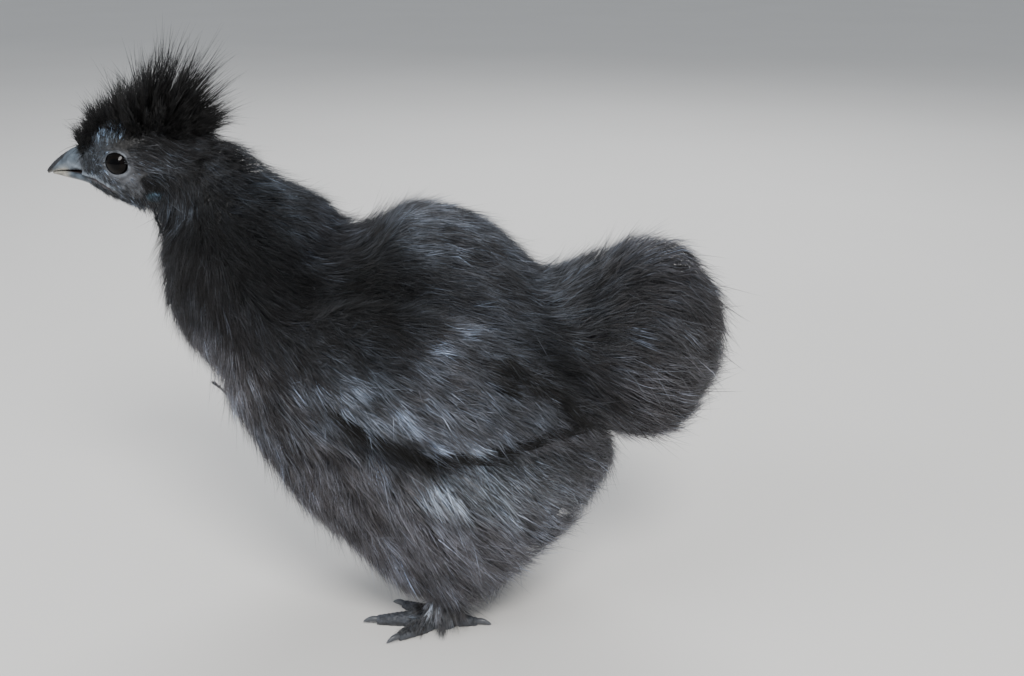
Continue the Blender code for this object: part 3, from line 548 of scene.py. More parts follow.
# painted shade: the skin inside the eye's socket, behind the eyeball, is painted near black
face = painted(face, np.array((0.02, 0.02, 0.022)), side * (1 - step_up(r, 3.0, 3.5)))
face = painted(face, LID_GREY, side * 0.9 * bump_at(r - 3.95, 0.42))
face = painted(face, np.array((0.035, 0.036, 0.040)), side * 0.7 * bump_at(r - 5.0, 0.45))
face = painted(face, np.array((0.010, 0.0095, 0.0095)), side * bump_at(np.hypot(hx - EAR[0], hz - EAR[1]), 3.4))
lobe_r = np.hypot((hx - EARLOBE[0]) / 3.6, (hz - EARLOBE[1]) / 2.0)
face = painted(face, TURQUOISE, side * (1 - step_up(lobe_r, 0.6, 1.2)))
apart = off_line(hx, hz, GAPE)
over_gape = hz > np.interp(hx, GAPE[:, 0], GAPE[:, 1])
face = painted(face, FOLD_BLUE, 0.85 * side * bump_at(apart - 1.1, 0.75) * over_gape)
face = painted(face, GAPE_PINK, 0.5 * side * bump_at(apart - 0.4, 0.4) * (hx > -99))
# painted shade: the line of the mouth is painted near black in the crease between the jaws
face = painted(face, np.array((0.012, 0.010, 0.010)), side * bump_at(apart, 0.35))
colour[:head_count] = face
colour[-leg_count:] = SLATE
skin = make_mesh("skin", points, faces, colours=np.column_stack([colour, np.ones(len(points))]))

grain, ends, outs = new_group(
    "skin grain",
    [("Vector", "NodeSocketVector", None), ("Scale", "NodeSocketFloat", 900.0)],
    [("Height", "NodeSocketFloat"), ("Mask", "NodeSocketFloat")],
)
cells = add_node(grain, "ShaderNodeTexVoronoi", {"feature": "F1"}, Vector=ends.outputs["Vector"], Scale=ends.outputs["Scale"])
fine = add_node(grain, "ShaderNodeTexNoise", Vector=ends.outputs["Vector"], Scale=2600.0, Detail=2.0)
patches = add_node(grain, "ShaderNodeTexNoise", Vector=ends.outputs["Vector"], Scale=420.0, Detail=5.0)
height = add_node(grain, "ShaderNodeMath", {"operation": "MULTIPLY_ADD"}, _0=fine.outputs["Fac"], _1=0.35, _2=cells.outputs["Distance"])
grain.links.new(height.outputs[0], outs.inputs["Height"])
grain.links.new(patches.outputs["Fac"], outs.inputs["Mask"])


def lay_on_grain(tree, colour, light, dark, scale):
    """Colour made lighter and darker by the grain's patches, and the grain's height for a bump."""
    place = add_node(tree, "ShaderNodeTexCoord")
    group = add_node(tree, "ShaderNodeGroup", {"node_tree": grain})
    group.inputs["Scale"].default_value = scale
    tree.links.new(place.outputs["Object"], group.inputs["Vector"])
    spread = add_node(tree, "ShaderNodeMapRange", Value=group.outputs["Mask"], From_Min=0.3, From_Max=0.7, To_Min=dark, To_Max=light)
    toned = add_node(tree, "ShaderNodeVectorMath", {"operation": "SCALE"}, _0=colour, Scale=spread.outputs["Result"])
    return toned.outputs[0], group.outputs["Height"], group.outputs["Mask"]


material, tree, shader = new_material("slate_skin", Roughness=0.55)
markings = add_node(tree, "ShaderNodeAttribute", {"attribute_name": "plumage"})
tone, height, mask = lay_on_grain(tree, markings.outputs["Color"], 1.9, 0.45, 900.0)
tree.links.new(tone, shader.inputs["Base Color"])
gloss = add_node(tree, "ShaderNodeMapRange", Value=mask, To_Min=0.42, To_Max=0.68)
tree.links.new(gloss.outputs["Result"], shader.inputs["Roughness"])
bump = add_node(tree, "ShaderNodeBump", Strength=0.8, Distance=0.0005, Height=height)
tree.links.new(bump.outputs["Normal"], shader.inputs["Normal"])
skin.data.materials.append(material)
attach(skin, "root")
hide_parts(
    "head", "neck", "torso", "tail", "earlobe_left", "earlobe_right", "wing_left", "wing_right",
    "thigh_left", "thigh_right", "shank_left", "shank_right", "foot_left", "foot_right",
)

# The eyes. Two wet, nearly black balls, set into the skull under the lids; the brown of the iris only
# shows as a faint ring round the pupil.
EYE_RADIUS = 5.0
turn, tilt = np.meshgrid(np.linspace(0, 2 * math.pi, 64, endpoint=False), np.linspace(0.04, math.pi - 0.04, 48), indexing="ij")
ball = np.stack([np.sin(tilt) * np.cos(turn), np.cos(tilt), np.sin(tilt) * np.sin(turn)], -1).transpose(1, 0, 2)
for label, sign in (("left", -1), ("right", 1)):
    middle = EYE * (1, -sign, 1) * MM + SHIFT
    bulge = 1 + 0.035 * np.exp(-((ball[..., 1] * sign - 1) / 0.08) ** 2)
    eye = make_mesh(f"eyeball_{label}", *closed_tube(middle + ball * bulge[..., None] * EYE_RADIUS * MM))
    material, tree, shader = new_material(f"wet_eye_{label}", Roughness=0.08, Specular_IOR_Level=0.11)
    place = add_node(tree, "ShaderNodeTexCoord")
    front = middle + np.array((-0.10, 0.995 * sign, 0.02)) * EYE_RADIUS * MM
    off = add_node(tree, "ShaderNodeVectorMath", {"operation": "DISTANCE"}, _0=place.outputs["Object"], _1=tuple(front))
    fibres = add_node(tree, "ShaderNodeTexNoise", Vector=place.outputs["Object"], Scale=2400.0, Detail=3.0)
    far = add_node(tree, "ShaderNodeMath", {"operation": "MULTIPLY_ADD"}, _0=fibres.outputs["Fac"], _1=0.0006, _2=off.outputs["Value"])
    ramp = add_node(tree, "ShaderNodeValToRGB")
    reach = add_node(tree, "ShaderNodeMath", {"operation": "DIVIDE"}, _0=far.outputs[0], _1=EYE_RADIUS * MM)
    tree.links.new(reach.outputs[0], ramp.inputs["Fac"])
    ramp.color_ramp.elements[0].position = 0.40
    ramp.color_ramp.elements[0].color = (0.0008, 0.0008, 0.001, 1)
    ramp.color_ramp.elements[1].position = 0.50
    ramp.color_ramp.elements[1].color = (0.0035, 0.0022, 0.0016, 1)
    rim = ramp.color_ramp.elements.new(0.85)
    rim.color = (0.0015, 0.0012, 0.0012, 1)
    tree.links.new(ramp.outputs["Color"], shader.inputs["Base Color"])
    eye.data.materials.append(material)
    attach(eye, "root")
    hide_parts(f"eye_{label}")

# The beak. Two halves of blue-grey horn over the jaws, a little open, with a black ridge and tip
# above, pale cutting edges, and a slit nostril in the soft skin at its base.
BEAK_UPPER = [
    (-100, 0, 163.6, 4.9, 4.9), (-104, 0, 163.2, 4.3, 4.0), (-108, 0, 162.1, 3.5, 3.0),
    (-111.5, 0, 160.8, 2.4, 1.9), (-113.8, 0, 159.6, 1.5, 1.1), (-115.2, 0, 158.6, 0.6, 0.6),
]
BEAK_LOWER = [
    (-100, 0, 156.2, 4.5, 2.1), (-104, 0, 157.2, 3.9, 1.7), (-108, 0, 157.9, 2.9, 1.45),
    (-111, 0, 158.2, 1.9, 0.95), (-113.4, 0, 158.3, 0.8, 0.5),
]
NOSTRIL = np.array((-103.6, 162.8))
HORN = np.array((0.058, 0.073, 0.090))
HORN_BLACK = np.array((0.012, 0.012, 0.014))
HORN_PALE = np.array((0.24, 0.225, 0.19))
# the inside of the mouth: its dark pinkish colour, darkened as painted shade of the narrow gap
MOUTH_IN_SHADE = np.array((0.040, 0.024, 0.022))


def beak_half(stations, edge):
    """One half of the beak: an oval tube whose section runs to a ridge above and to square edges below.

    On the side towards the mouth the height runs as sin to the power 1 - |edge|, so edge is how square that side is;
    the other side is pulled in by up to 16 percent between its top and sides.
    """
    form = Form(stations)
    rings, u, angle = form.rings(90, 72)
    centre = (form.at(u, angle) + form.at(u, angle + 180)) / 2
    reach = rings - centre
    turn = np.radians(angle)
    sine = np.sin(turn)
    mouth_side = (sine < 0) if edge > 0 else (sine > 0)
    high = np.where(mouth_side, np.abs(sine) ** (1 - abs(edge)) / np.maximum(np.abs(sine), 1e-3), 1.0)
    ridge = np.where(mouth_side, 1.0, 1 - 0.16 * np.abs(np.sin(turn * 2)))
    reach[..., 2] *= np.clip(high, 0, 4) * ridge
    reach[..., 1] *= ridge
    return centre + reach, u, angle


upper, u, angle = beak_half(BEAK_UPPER, 0.62)
x, y, z = (drawn(upper)[..., k] for k in range(3))
side = step_up(np.abs(y), 1.5, 3.0)
slit = np.hypot((x - NOSTRIL[0]) / 1.35, (z - NOSTRIL[1] - 0.25 * (x - NOSTRIL[0])) / 0.5)
flap = np.hypot((x - NOSTRIL[0]) / 2.2, (z - NOSTRIL[1] - 0.9) / 0.9)
rings_of_growth = 0.03 * np.sin(u * 70)
relief = -0.9 * side * (1 - step_up(slit, 0.6, 1.15)) + 0.28 * side * bump_at(flap, 1.0) + rings_of_growth
upper = raised(upper, relief * MM)
x, y, z = (drawn(upper)[..., k].ravel() for k in range(3))
sine = np.sin(np.radians(angle)).ravel()
ridge_line = np.interp(-x, [106, 108.5, 111, 113, 115.3], [1.3, 0.86, 0.40, -0.05, -0.6])
tip = step_up(-x, 110.5, 114.5)
tone = painted(np.tile(HORN, (len(x), 1)), HORN * 0.6, step_up(sine, 0.55, 0.95) * 0.6)
tone = painted(tone, FOLD_BLUE, 0.85 * bump_at(z - np.interp(x, [-108, -103, -99], [162.6, 160.4, 158.6]), 1.0) * step_up(x, -109, -105))
tone = painted(tone, HORN_BLACK, step_up(sine, ridge_line - 0.10, ridge_line + 0.10))
tone = painted(tone, HORN_PALE, 0.8 * bump_at(sine + 0.45, 0.30) * step_up(-x, 106, 109) * (1 - 0.5 * tip))
# the side of the upper half that faces the mouth, in the mouth's colour with painted shade
tone = painted(tone, MOUTH_IN_SHADE, step_up(-sine, 0.55, 0.8) * step_up(x, -110, -107.5))
tone = painted(tone, np.array((0.060, 0.066, 0.076)), step_up(x, -104.5, -101.5) * 0.8)
# painted shade: the nostril's slit is painted near black inside its hollow
tone = painted(tone, np.array((0.004, 0.004, 0.004)), (side.ravel()) * (1 - step_up(slit.ravel(), 0.5, 1.05)))
points, faces = closed_tube(upper)
ends_tone = np.vstack([tone, tone[:1], tone[-1:]])
beak_upper = make_mesh("beak_top", points, faces, colours=np.column_stack([ends_tone, np.ones(len(points))]))

lower, u, angle = beak_half(BEAK_LOWER, -0.68)
sine = np.sin(np.radians(angle)).ravel()
x = drawn(lower)[..., 0].ravel()
tone = painted(np.tile(HORN * 0.8, (len(x), 1)), HORN_PALE, 0.9 * step_up(-x, 106, 109.5))
# the side of the lower half that faces the mouth, in the mouth's colour with painted shade
tone = painted(tone, MOUTH_IN_SHADE, step_up(sine, 0.5, 0.8) * step_up(x, -109.5, -106))
points, faces = closed_tube(lower)
ends_tone = np.vstack([tone, tone[:1], tone[-1:]])
beak_lower = make_mesh("beak_bottom", points, faces, colours=np.column_stack([ends_tone, np.ones(len(points))]))

material, tree, shader = new_material("beak_horn", Roughness=0.45, Coat_Weight=0.06, Coat_Roughness=0.3)
markings = add_node(tree, "ShaderNodeAttribute", {"attribute_name": "plumage"})
tone, height, mask = lay_on_grain(tree, markings.outputs["Color"], 1.75, 0.45, 1400.0)
tree.links.new(tone, shader.inputs["Base Color"])
gloss = add_node(tree, "ShaderNodeMapRange", Value=mask, To_Min=0.36, To_Max=0.60)
tree.links.new(gloss.outputs["Result"], shader.inputs["Roughness"])
bump = add_node(tree, "ShaderNodeBump", Strength=0.25, Distance=0.0002, Height=height)
tree.links.new(bump.outputs["Normal"], shader.inputs["Normal"])
for half, replaced in ((beak_upper, "beak_upper"), (beak_lower, "beak_lower")):
    half.data.materials.append(material)
    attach(half, "root")
    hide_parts(replaced)

# The claws. A short, dull slate claw ends each of the five toes, curved down to the floor; its root
# sits in a fold of skin.
CLAW = [(-1.5, 0.2, 1.0, 1.0), (1.5, 0.5, 0.95, 1.1), (3.6, 0.0, 0.6, 0.8), (5.0, -0.5, 0.4, 0.4)]
claw_parts, claw_names = [], []
for label, sign in (("right", 1), ("left", -1)):
    for toe, turn, length, width, root_z, rise in TOES:
        rows, way = toe_rows(sign, turn, length, width, root_z, rise)
        tip = np.array(rows[-1][:3])
        bent = [(*(tip + way * past + (0, 0, lift)), wide, high) for past, lift, wide, high in CLAW]
        rings, u, angle = Form(bent, side=np.cross(way, (0, 0, 1))).rings(20, 14)
        shrink = np.sqrt(np.clip(1 - np.linspace(0, 1, 20) ** 6, 0.04, 1))[:, None, None]
        middle = rings.mean(1, keepdims=True)
        rings = middle + (rings - middle) * shrink
        rings[..., 2] = np.maximum(rings[..., 2], 0.05 * MM)
        claw_parts.append(closed_tube(rings))
        claw_names.append(f"claw_{label}_{toe}")
claws = make_mesh("claws", *joined(claw_parts))
material, tree, shader = new_material("claw_horn", Roughness=0.4)
place = add_node(tree, "ShaderNodeTexCoord")
streak = add_node(tree, "ShaderNodeTexNoise", Vector=place.outputs["Object"], Scale=700.0, Detail=4.0)
tone = add_node(tree, "ShaderNodeMix", {"data_type": "RGBA"}, _0=streak.outputs["Fac"], _6=(0.035, 0.038, 0.044, 1), _7=(0.10, 0.105, 0.115, 1))
tree.links.new(tone.outputs[2], shader.inputs["Base Color"])
claws.data.materials.append(material)
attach(claws, "root")
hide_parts(*claw_names)

# The fuzz of the face. Hair-fine down lies short and close over the cheeks, chin and brow and leaves
# the ring of the eye, the ear, the lobe and the line of the mouth bare.
STEPS = 6


def even_places(form, count, us=(0.0, 1.0), angles=(0.0, 360.0), seed=0):
    """Places spread evenly over a form's surface by the golden-ratio sequence, weighted by its girth."""
    k = np.arange(count) + seed * 1000
    a, b = (0.5 + k * 0.7548776662) % 1.0, (0.5 + k * 0.5698402910) % 1.0
    along = np.linalg.norm(np.gradient(form.centre, axis=0), axis=1)
    slant = np.hypot(along, np.abs(np.gradient(form.rows[:, 3])) + np.abs(np.gradient(form.rows[:, 4])))
    area = np.cumsum(slant * (form.rows[:, 3] + form.rows[:, 4]))
    share = np.linspace(0, 1, form.FINE)
    low, high = np.interp(us, share, area)
    return np.interp(low + a * (high - low), area, share), angles[0] + b * (angles[1] - angles[0])


def not_under(points, hiding, depth):
    """True for points that are less than depth millimetres inside every hiding form."""
    shown = np.ones(len(points), bool)
    for label in hiding:
        shown &= forms[label].locate(points)[2] < depth * MM
    return shown


def unit(v):
    return v / (np.linalg.norm(v, axis=-1)[..., None] + 1e-12)


BLEND = 2.0 * MM


def on_outline(point, group):
    """Points moved onto the joint outline of a group of forms, and the ways out of it there.

    A form counts by exp(depth / BLEND). Points move out by the joint depth, BLEND log(sum), or in by it,
    but by no more than 0.5 mm.
    """
    for _ in range(2):
        total, normal = 0.0, 0.0
        for form in group:
            u, angle, deep = form.locate(point)
            share = np.exp(np.clip(deep / BLEND, -20.0, 20.0))
            total = total + share
            normal = normal + form.normal(u, angle) * share[:, None]
        normal = unit(normal)
        point = point + normal * np.maximum(BLEND * np.log(total), -0.5 * MM)[:, None]
    return point, normal


def sway(p):
    """How far the coat leans to one side at a place: three waves over the body that add up to 0.4 at most."""
    x, y, z = p.T
    slow = 0.17 * np.sin(0.37 * x + 0.21 * z + 0.3 * y) + 0.13 * np.sin(0.23 * x - 0.52 * z + 1.3)
    return slow + 0.10 * np.sin(0.83 * x + 0.61 * z)


def lumps(p):
    """Where the coat gathers in raised locks about 15 mm apart, from -1 to 1: two waves that bend each other."""
    x, y, z = p.T
    first = np.sin(0.42 * x + 0.18 * z + 1.4 * np.sin(0.13 * z + 0.08 * x) + 0.2 * y)
    return 0.5 * first + 0.5 * np.sin(0.40 * z - 0.27 * x + 2.0 + 1.2 * np.sin(0.15 * x))


def comb(form, u, angle, lie, length, depth, lift, over=()):
    """The middle line of each tuft, combed along the coat's lie in STEPS steps over the outline.

    Each step is turned sideways by sway and put back on the joint outline of the form and of those over
    which it lies. Its height over it is -depth (1 - t)^1.6 + lift t^2. Gives the lines, the ways out and
    the ways across, as arrays of tuft, step and xyz.
    """
    group = [form] + [forms[label] for label in over]
    point, normal = form.at(u, angle), form.normal(u, angle)
    line, outs, sides = [], [], []
    for step in range(STEPS + 1):
        t = step / STEPS
        way = lie(drawn(point))
        way = unit(way - normal * (way * normal).sum(-1)[:, None])
        way = unit(way + np.cross(normal, way) * sway(drawn(point))[:, None])
        height = -depth * (1 - t) ** 1.6 + lift * t**2
        line.append(point + normal * (height * MM)[:, None])
        outs.append(normal)
        sides.append(np.cross(normal, way))
        point, normal = on_outline(point + way * (length * MM / STEPS)[:, None], group)
    return tuple(np.stack(v, 1) for v in (line, outs, sides))


STRAND_STEPS = {3: (0.0, 0.36, 0.70, 1.0), 2: (0.0, 0.5, 1.0), 1: (0.0, 1.0)}


def split_tufts(lines, outs, sides, per, spread, seed, reach=(0.72, 1.08), thick=0.8, wild=0.6, rings=3):
    """per strands out of each tuft's middle line.

    A strand's point at t is the line's point at t times its reach, plus sideways spread, from spread[0]
    at the root to spread[1] at the tip, a height in the tuft's thickness, and a bend wild t^2, in millimetres, which one strand in ten has threefold.
    """
    draw = np.random.default_rng(seed)
    count = len(lines)
    across = (np.arange(per) + 0.5) / per * 2 - 1 + draw.uniform(-0.6, 0.6, (count, per)) / per
    across = np.take_along_axis(across, np.argsort(draw.random((count, per)), 1), 1)
    long = draw.uniform(*reach, (count, per, 1)) * (1 - 0.16 * across**2)[..., None]
    t = np.array(STRAND_STEPS[rings])[None, None]
    place = np.clip(t * long, 0, None) * STEPS
    low = np.minimum(place.astype(int), STEPS - 1)
    rest = (place - low)[..., None]
    tuft = np.arange(count)[:, None, None]
    point, out, side = (v[tuft, low] * (1 - rest) + v[tuft, low + 1] * rest for v in (lines, outs, sides))
    level = draw.uniform(-1.0, 0.35, (count, per, 1))
    stray = 1 + 2.2 * (draw.random((count, per, 1)) < 0.10)
    bend, toss = draw.normal(0, 1, (count, per, 1)) * stray, draw.normal(0.1, 0.5, (count, per, 1)) * stray
    sideways = across[..., None] * (spread[0] * (1 - t) + spread[1] * t) + wild * bend * t**2
    upwards = level * thick * (1 - 0.5 * t) + wild * toss * t**2
    point = point + side * (sideways * MM)[..., None] + out * (upwards * MM)[..., None]
    point[..., 2] = np.maximum(point[..., 2], 0.4 * MM)
    shape = (count * per, rings + 1)
    return point.reshape(*shape, 3), out.reshape(*shape, 3), side.reshape(*shape, 3)


TAPER = {3: (0.75, 1.0, 0.72), 2: (0.8, 0.9), 1: (1.0,)}
CORNERS = np.radians((90.0, 210.0, 330.0))


def hair_mesh(name, batches, material):
    """One coat piece from batches of strands, each a three-sided hair that thins to a point.

    A ring is centre + across width cos + out 0.6 width sin at three corners. A batch is a dict of the
    strands' points, outs and sides, their width, their roots' places and colours, and strands per tuft.
    """
    all_points, all_faces, all_uv, all_colours, start = [], [], [], [], 0
    for batch in batches:
        path, out, side = batch["strands"]
        count, steps = path.shape[:2]
        rings = steps - 1
        along = unit(np.gradient(path, axis=1))
        side = unit(side - along * (side * along).sum(-1)[..., None])
        out = np.cross(along, side)
        out *= np.where((out * batch["strands"][1]).sum(-1) < 0, -1, 1)[..., None]
        width = batch["width"][:, None] * np.array(TAPER[rings])[None] * MM / 2
        ring = path[:, :rings, None] + side[:, :rings, None] * (width[..., None, None] * np.cos(CORNERS)[:, None])
        ring = ring + out[:, :rings, None] * (0.6 * width[..., None, None] * np.sin(CORNERS)[:, None])
        points = np.concatenate([ring.reshape(count, rings * 3, 3), path[:, rings:]], 1)
        size = rings * 3 + 1
        pattern = [(0, 1, 2)]
        for k in range(rings - 1):
            for i in range(3):
                a, b = 3 * k + i, 3 * k + (i + 1) % 3
                pattern += [(a, a + 3, b), (b, a + 3, b + 3)]
        last = 3 * (rings - 1)
        pattern += [(last + i, size - 1, last + (i + 1) % 3) for i in range(3)]
        pattern = np.array(pattern)
        facing = (np.cross(points[:, 1] - points[:, 0], points[:, 2] - points[:, 0]) * along[:, 0]).sum(-1) > 0
        faces = np.where(facing[:, None, None], pattern[None, :, ::-1], pattern[None])
        faces = faces + (start + np.arange(count) * size)[:, None, None]
        t = np.append(np.repeat(np.linspace(0, 1, rings, endpoint=False), 3), 1.0)
        per = batch["per"]
        home = np.repeat(batch["home"], per, axis=0)
        share = np.tile((np.arange(per) + 0.5) / per, count // per)
        uv = np.stack([
            home[:, :1] + 0.003 * (share[:, None] - 0.5) + 0 * t, home[:, 1:] + 0.003 * (t - 0.5),
        ], -1)
        colours = np.concatenate([
            np.repeat(batch["colours"][:, None], size, 1), np.repeat(t[None, :, None], count, 0),
        ], 2)
        all_points.append(points.reshape(-1, 3))
        all_faces.append(faces.reshape(-1, 3))
        all_uv.append(uv.reshape(-1, 2))
        all_colours.append(colours.reshape(-1, 4))
        start += count * size
    faces = np.vstack(all_faces)
    piece = make_mesh(name, np.vstack(all_points), faces, np.vstack(all_uv), np.vstack(all_colours))
    piece.data.materials.append(material)
    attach(piece, "root")
    print(name, "strands", sum(len(b["width"]) for b in batches), "triangles", len(faces))
    return piece


def tinted(roots, per, seed, tuft_range=0.40, strand_range=0.34, streaks=0.03, light=2.0, shade=1.0, fixed=None):
    """The colours of the strands: the plumage at each root, lighter on raised locks and darker in the hollows between
    them as painted light and shade, and lighter or darker at random by tuft and strand.

    A tone of exp(sum) scales red, green and blue by its powers 0.9, 1 and 1.1: dark locks are browner.
    """
    draw = np.random.default_rng(seed)
    base = plumage(roots) if fixed is None else np.tile(np.array(fixed), (len(roots), 1))
    # lumps: raised locks are painted lighter and the hollows between them darker, as painted light and shade
    tone = draw.normal(0, tuft_range, len(roots)) + (0.45 * lumps(drawn(roots)) if fixed is None else 0.0)
    tone = np.repeat(tone, per) + draw.normal(0, strand_range, len(roots) * per)
    base = np.repeat(base * shade, per, axis=0) * np.exp(tone[:, None] * (0.9, 1.0, 1.1))
    streaked = draw.random((len(base), 1)) < streaks
    return np.where(streaked, base * light + (0.006, 0.007, 0.010), base)


def grow(label, count, per, lie, length, depth, width, spread, seed, us=(0, 1), angles=(0, 360), hiding=(),
         hidden_depth=4.0, over=(), lift=(0.0, 2.0), lump=1.2, stand=None, keep=None, shape=None, tint=None):
    """A batch of tufts on a form: even places, combed lines, strands and colours.

    Lines with a kink are left out, and so are roots that stand more than 2.5 mm off the joint outline.
    """
    form = forms[label]
    draw = np.random.default_rng(seed)
    u, angle = even_places(form, count, us, angles, seed)
    outline = form.at(u, angle)
    shown = not_under(outline, hiding, hidden_depth)
    if keep is not None:
        shown &= keep(drawn(outline))
    u, angle, outline = u[shown], angle[shown], outline[shown]
    place = drawn(outline)
    long = length(place) if callable(length) else np.full(len(u), float(length))
    long = long * draw.uniform(0.8, 1.2, len(u))
    rise = draw.uniform(*lift, len(u)) + lump * lumps(place)
    if stand is not None:
        rise = rise + stand(place)
    lines, outs, sides = comb(form, u, angle, lie, long, depth, rise, over)
    steps = np.linalg.norm(np.diff(lines, axis=1), axis=2)
    turns = (unit(lines[:, 2:] - lines[:, 1:-1]) * unit(lines[:, 1:-1] - lines[:, :-2])).sum(-1)
    smooth = (steps.max(1) < (long / STEPS * 1.8 + depth * 0.6 + 0.5) * MM) & (turns.min(1) > 0.30)
    settled, _ = on_outline(outline, [form] + [forms[other] for other in over])
    smooth &= ((settled - outline) * form.normal(u, angle)).sum(-1) > -2.5 * MM
    lines, outs, sides, u, angle, outline = (v[smooth] for v in (lines, outs, sides, u, angle, outline))
    home = np.column_stack([angle % 360 / 360, u])
    return batch_of(lines, outs, sides, per, width, spread, seed, home, outline, shape, tint)


def haze(label, count, lie, seed, **where):
    """Single fine hairs that stand a little off the coat, thinner and wilder than its tufts."""
    return grow(
        label, count, 6, lie, 11.0, 1.5, 0.18, (1.8, 3.0), seed, lift=(0.4, 3.4), tint={"strand_range": 0.4},
        shape={"wild": 1.5, "rings": 1, "reach": (0.45, 1.25)}, **where,
    )


def batch_of(lines, outs, sides, per, width, spread, seed, home, roots, shape=None, tint=None):
    """The strands of combed lines, with their widths, colours and places on the unwrap, as one batch."""
    draw = np.random.default_rng(seed + 1)
    strands = split_tufts(lines, outs, sides, per, spread, seed, **(shape or {}))
    return {
        "strands": strands,
        "width": width * draw.uniform(0.8, 1.2, len(lines) * per),
        "colours": tinted(roots, per, seed + 2, **(tint or {})),
        "home": 0.01 + 0.98 * home,
        "per": per,
    }


down_tone, ends, outs = new_group(
    "down tone",
    [
        ("Plumage", "NodeSocketColor", None), ("Along", "NodeSocketFloat", 0.5),
        ("Root Shade", "NodeSocketFloat", 0.4), ("Tip Light", "NodeSocketFloat", 1.2),
        ("Tip Backlight Colour", "NodeSocketColor", (0.06, 0.052, 0.046, 1.0)), ("Tip Amount", "NodeSocketFloat", 0.2),
    ],
    [("Color", "NodeSocketColor"), ("Mask", "NodeSocketFloat")],
)
place = add_node(down_tone, "ShaderNodeTexCoord")
broad = add_node(down_tone, "ShaderNodeTexNoise", Vector=place.outputs["Object"], Scale=95.0, Detail=3.0, Roughness=0.55)
close = add_node(down_tone, "ShaderNodeTexNoise", Vector=place.outputs["Object"], Scale=420.0, Detail=2.0)
patch = add_node(down_tone, "ShaderNodeMapRange", Value=broad.outputs["Fac"], From_Min=0.32, From_Max=0.68, To_Min=0.62, To_Max=1.45)
speck = add_node(down_tone, "ShaderNodeMapRange", Value=close.outputs["Fac"], From_Min=0.3, From_Max=0.7, To_Min=0.82, To_Max=1.2)
shade = add_node(down_tone, "ShaderNodeMapRange", {"interpolation_type": "SMOOTHSTEP"}, Value=ends.outputs["Along"], From_Min=0.0, From_Max=0.75, To_Min=ends.outputs["Root Shade"], To_Max=ends.outputs["Tip Light"])
both = add_node(down_tone, "ShaderNodeMath", {"operation": "MULTIPLY"}, _0=patch.outputs["Result"], _1=speck.outputs["Result"])
all_three = add_node(down_tone, "ShaderNodeMath", {"operation": "MULTIPLY"}, _0=both.outputs[0], _1=shade.outputs["Result"])
toned = add_node(down_tone, "ShaderNodeVectorMath", {"operation": "SCALE"}, _0=ends.outputs["Plumage"], Scale=all_three.outputs[0])
# towards the tips the colour turns brownish: painted light shining through the down's fine tips
at_tip = add_node(down_tone, "ShaderNodeMapRange", {"interpolation_type": "SMOOTHSTEP"}, Value=ends.outputs["Along"], From_Min=0.6, From_Max=1.0, To_Min=0.0, To_Max=ends.outputs["Tip Amount"])
mixed = add_node(down_tone, "ShaderNodeMix", {"data_type": "RGBA"}, _0=at_tip.outputs["Result"], _6=toned.outputs[0], _7=ends.outputs["Tip Backlight Colour"])
down_tone.links.new(mixed.outputs[2], outs.inputs["Color"])
down_tone.links.new(broad.outputs["Fac"], outs.inputs["Mask"])


def down_material(name, rough, sheen, root_shade, tip_light, tip_backlight_colour, tip_amount):
    """Hair-like feather: the plumage's colour through the down tone group, with a soft sheen; towards the tips a
    brownish colour is laid over it, painted light shining through the down's fine tips.
    """
    material, tree, shader = new_material(name, Sheen_Weight=sheen, Sheen_Roughness=0.4, Specular_IOR_Level=0.36)
    shader.inputs["Sheen Tint"].default_value = (0.88, 0.92, 1.0, 1.0)
    markings = add_node(tree, "ShaderNodeAttribute", {"attribute_name": "plumage"})
    tone = add_node(tree, "ShaderNodeGroup", {"node_tree": down_tone})
    tone.inputs["Root Shade"].default_value = root_shade
    tone.inputs["Tip Light"].default_value = tip_light
    tone.inputs["Tip Backlight Colour"].default_value = tip_backlight_colour
    tone.inputs["Tip Amount"].default_value = tip_amount
    tree.links.new(markings.outputs["Color"], tone.inputs["Plumage"])
    tree.links.new(markings.outputs["Alpha"], tone.inputs["Along"])
    tree.links.new(tone.outputs["Color"], shader.inputs["Base Color"])
    gloss = add_node(tree, "ShaderNodeMapRange", Value=tone.outputs["Mask"], To_Min=rough - 0.1, To_Max=rough + 0.1)
    tree.links.new(gloss.outputs["Result"], shader.inputs["Roughness"])
    return material


charcoal_down = down_material("charcoal_down", 0.62, 0.05, 0.45, 1.18, (0.05, 0.047, 0.046, 1.0), 0.12)


def face_lie(p):
    """Back from the beak, down over the cheeks and chin, and round the eye."""
    x, y, z = p.T
    back = step_up(x, -104, -80)
    way = np.stack([0.9 - 0.25 * back, 0.12 * np.sign(y), -0.25 - 0.45 * back * (z < 160)], -1)
    dx, dz = x - EYE[0], z - EYE[2]
    near = bump_at(np.hypot(dx, dz), 7.0)[:, None] * 0.9
    around = np.stack([np.abs(dz) / 6 + 0.5, 0 * dx, np.sign(dz) * 0.35 - dx * np.sign(dz) * 0.06], -1)
    return way * (1 - near) + around * near


def face_kept(p):
    """Where the face's fuzz grows: not on the eye's ring, the ear, the lobe, the gape or the beak's base."""
    x, y, z = p.T
    eye = eye_distance(x, z) > 4.7
    ear = np.hypot(x - EAR[0], z - EAR[1]) > 2.2
    gape = off_line(x, z, GAPE) > 0.9
    top = (np.abs(y) > 2.5) | (z < 160)
    return ((eye & ear & gape) | (np.abs(y) < 4)) & (x > -102.6) & top


def face_length(p):
    """2 mm at the beak, 9 mm where the cheek runs into the neck."""
    return 1.9 + 1.3 * step_up(p[:, 0], -100, -88) + 5.8 * step_up(p[:, 0], -85, -70)


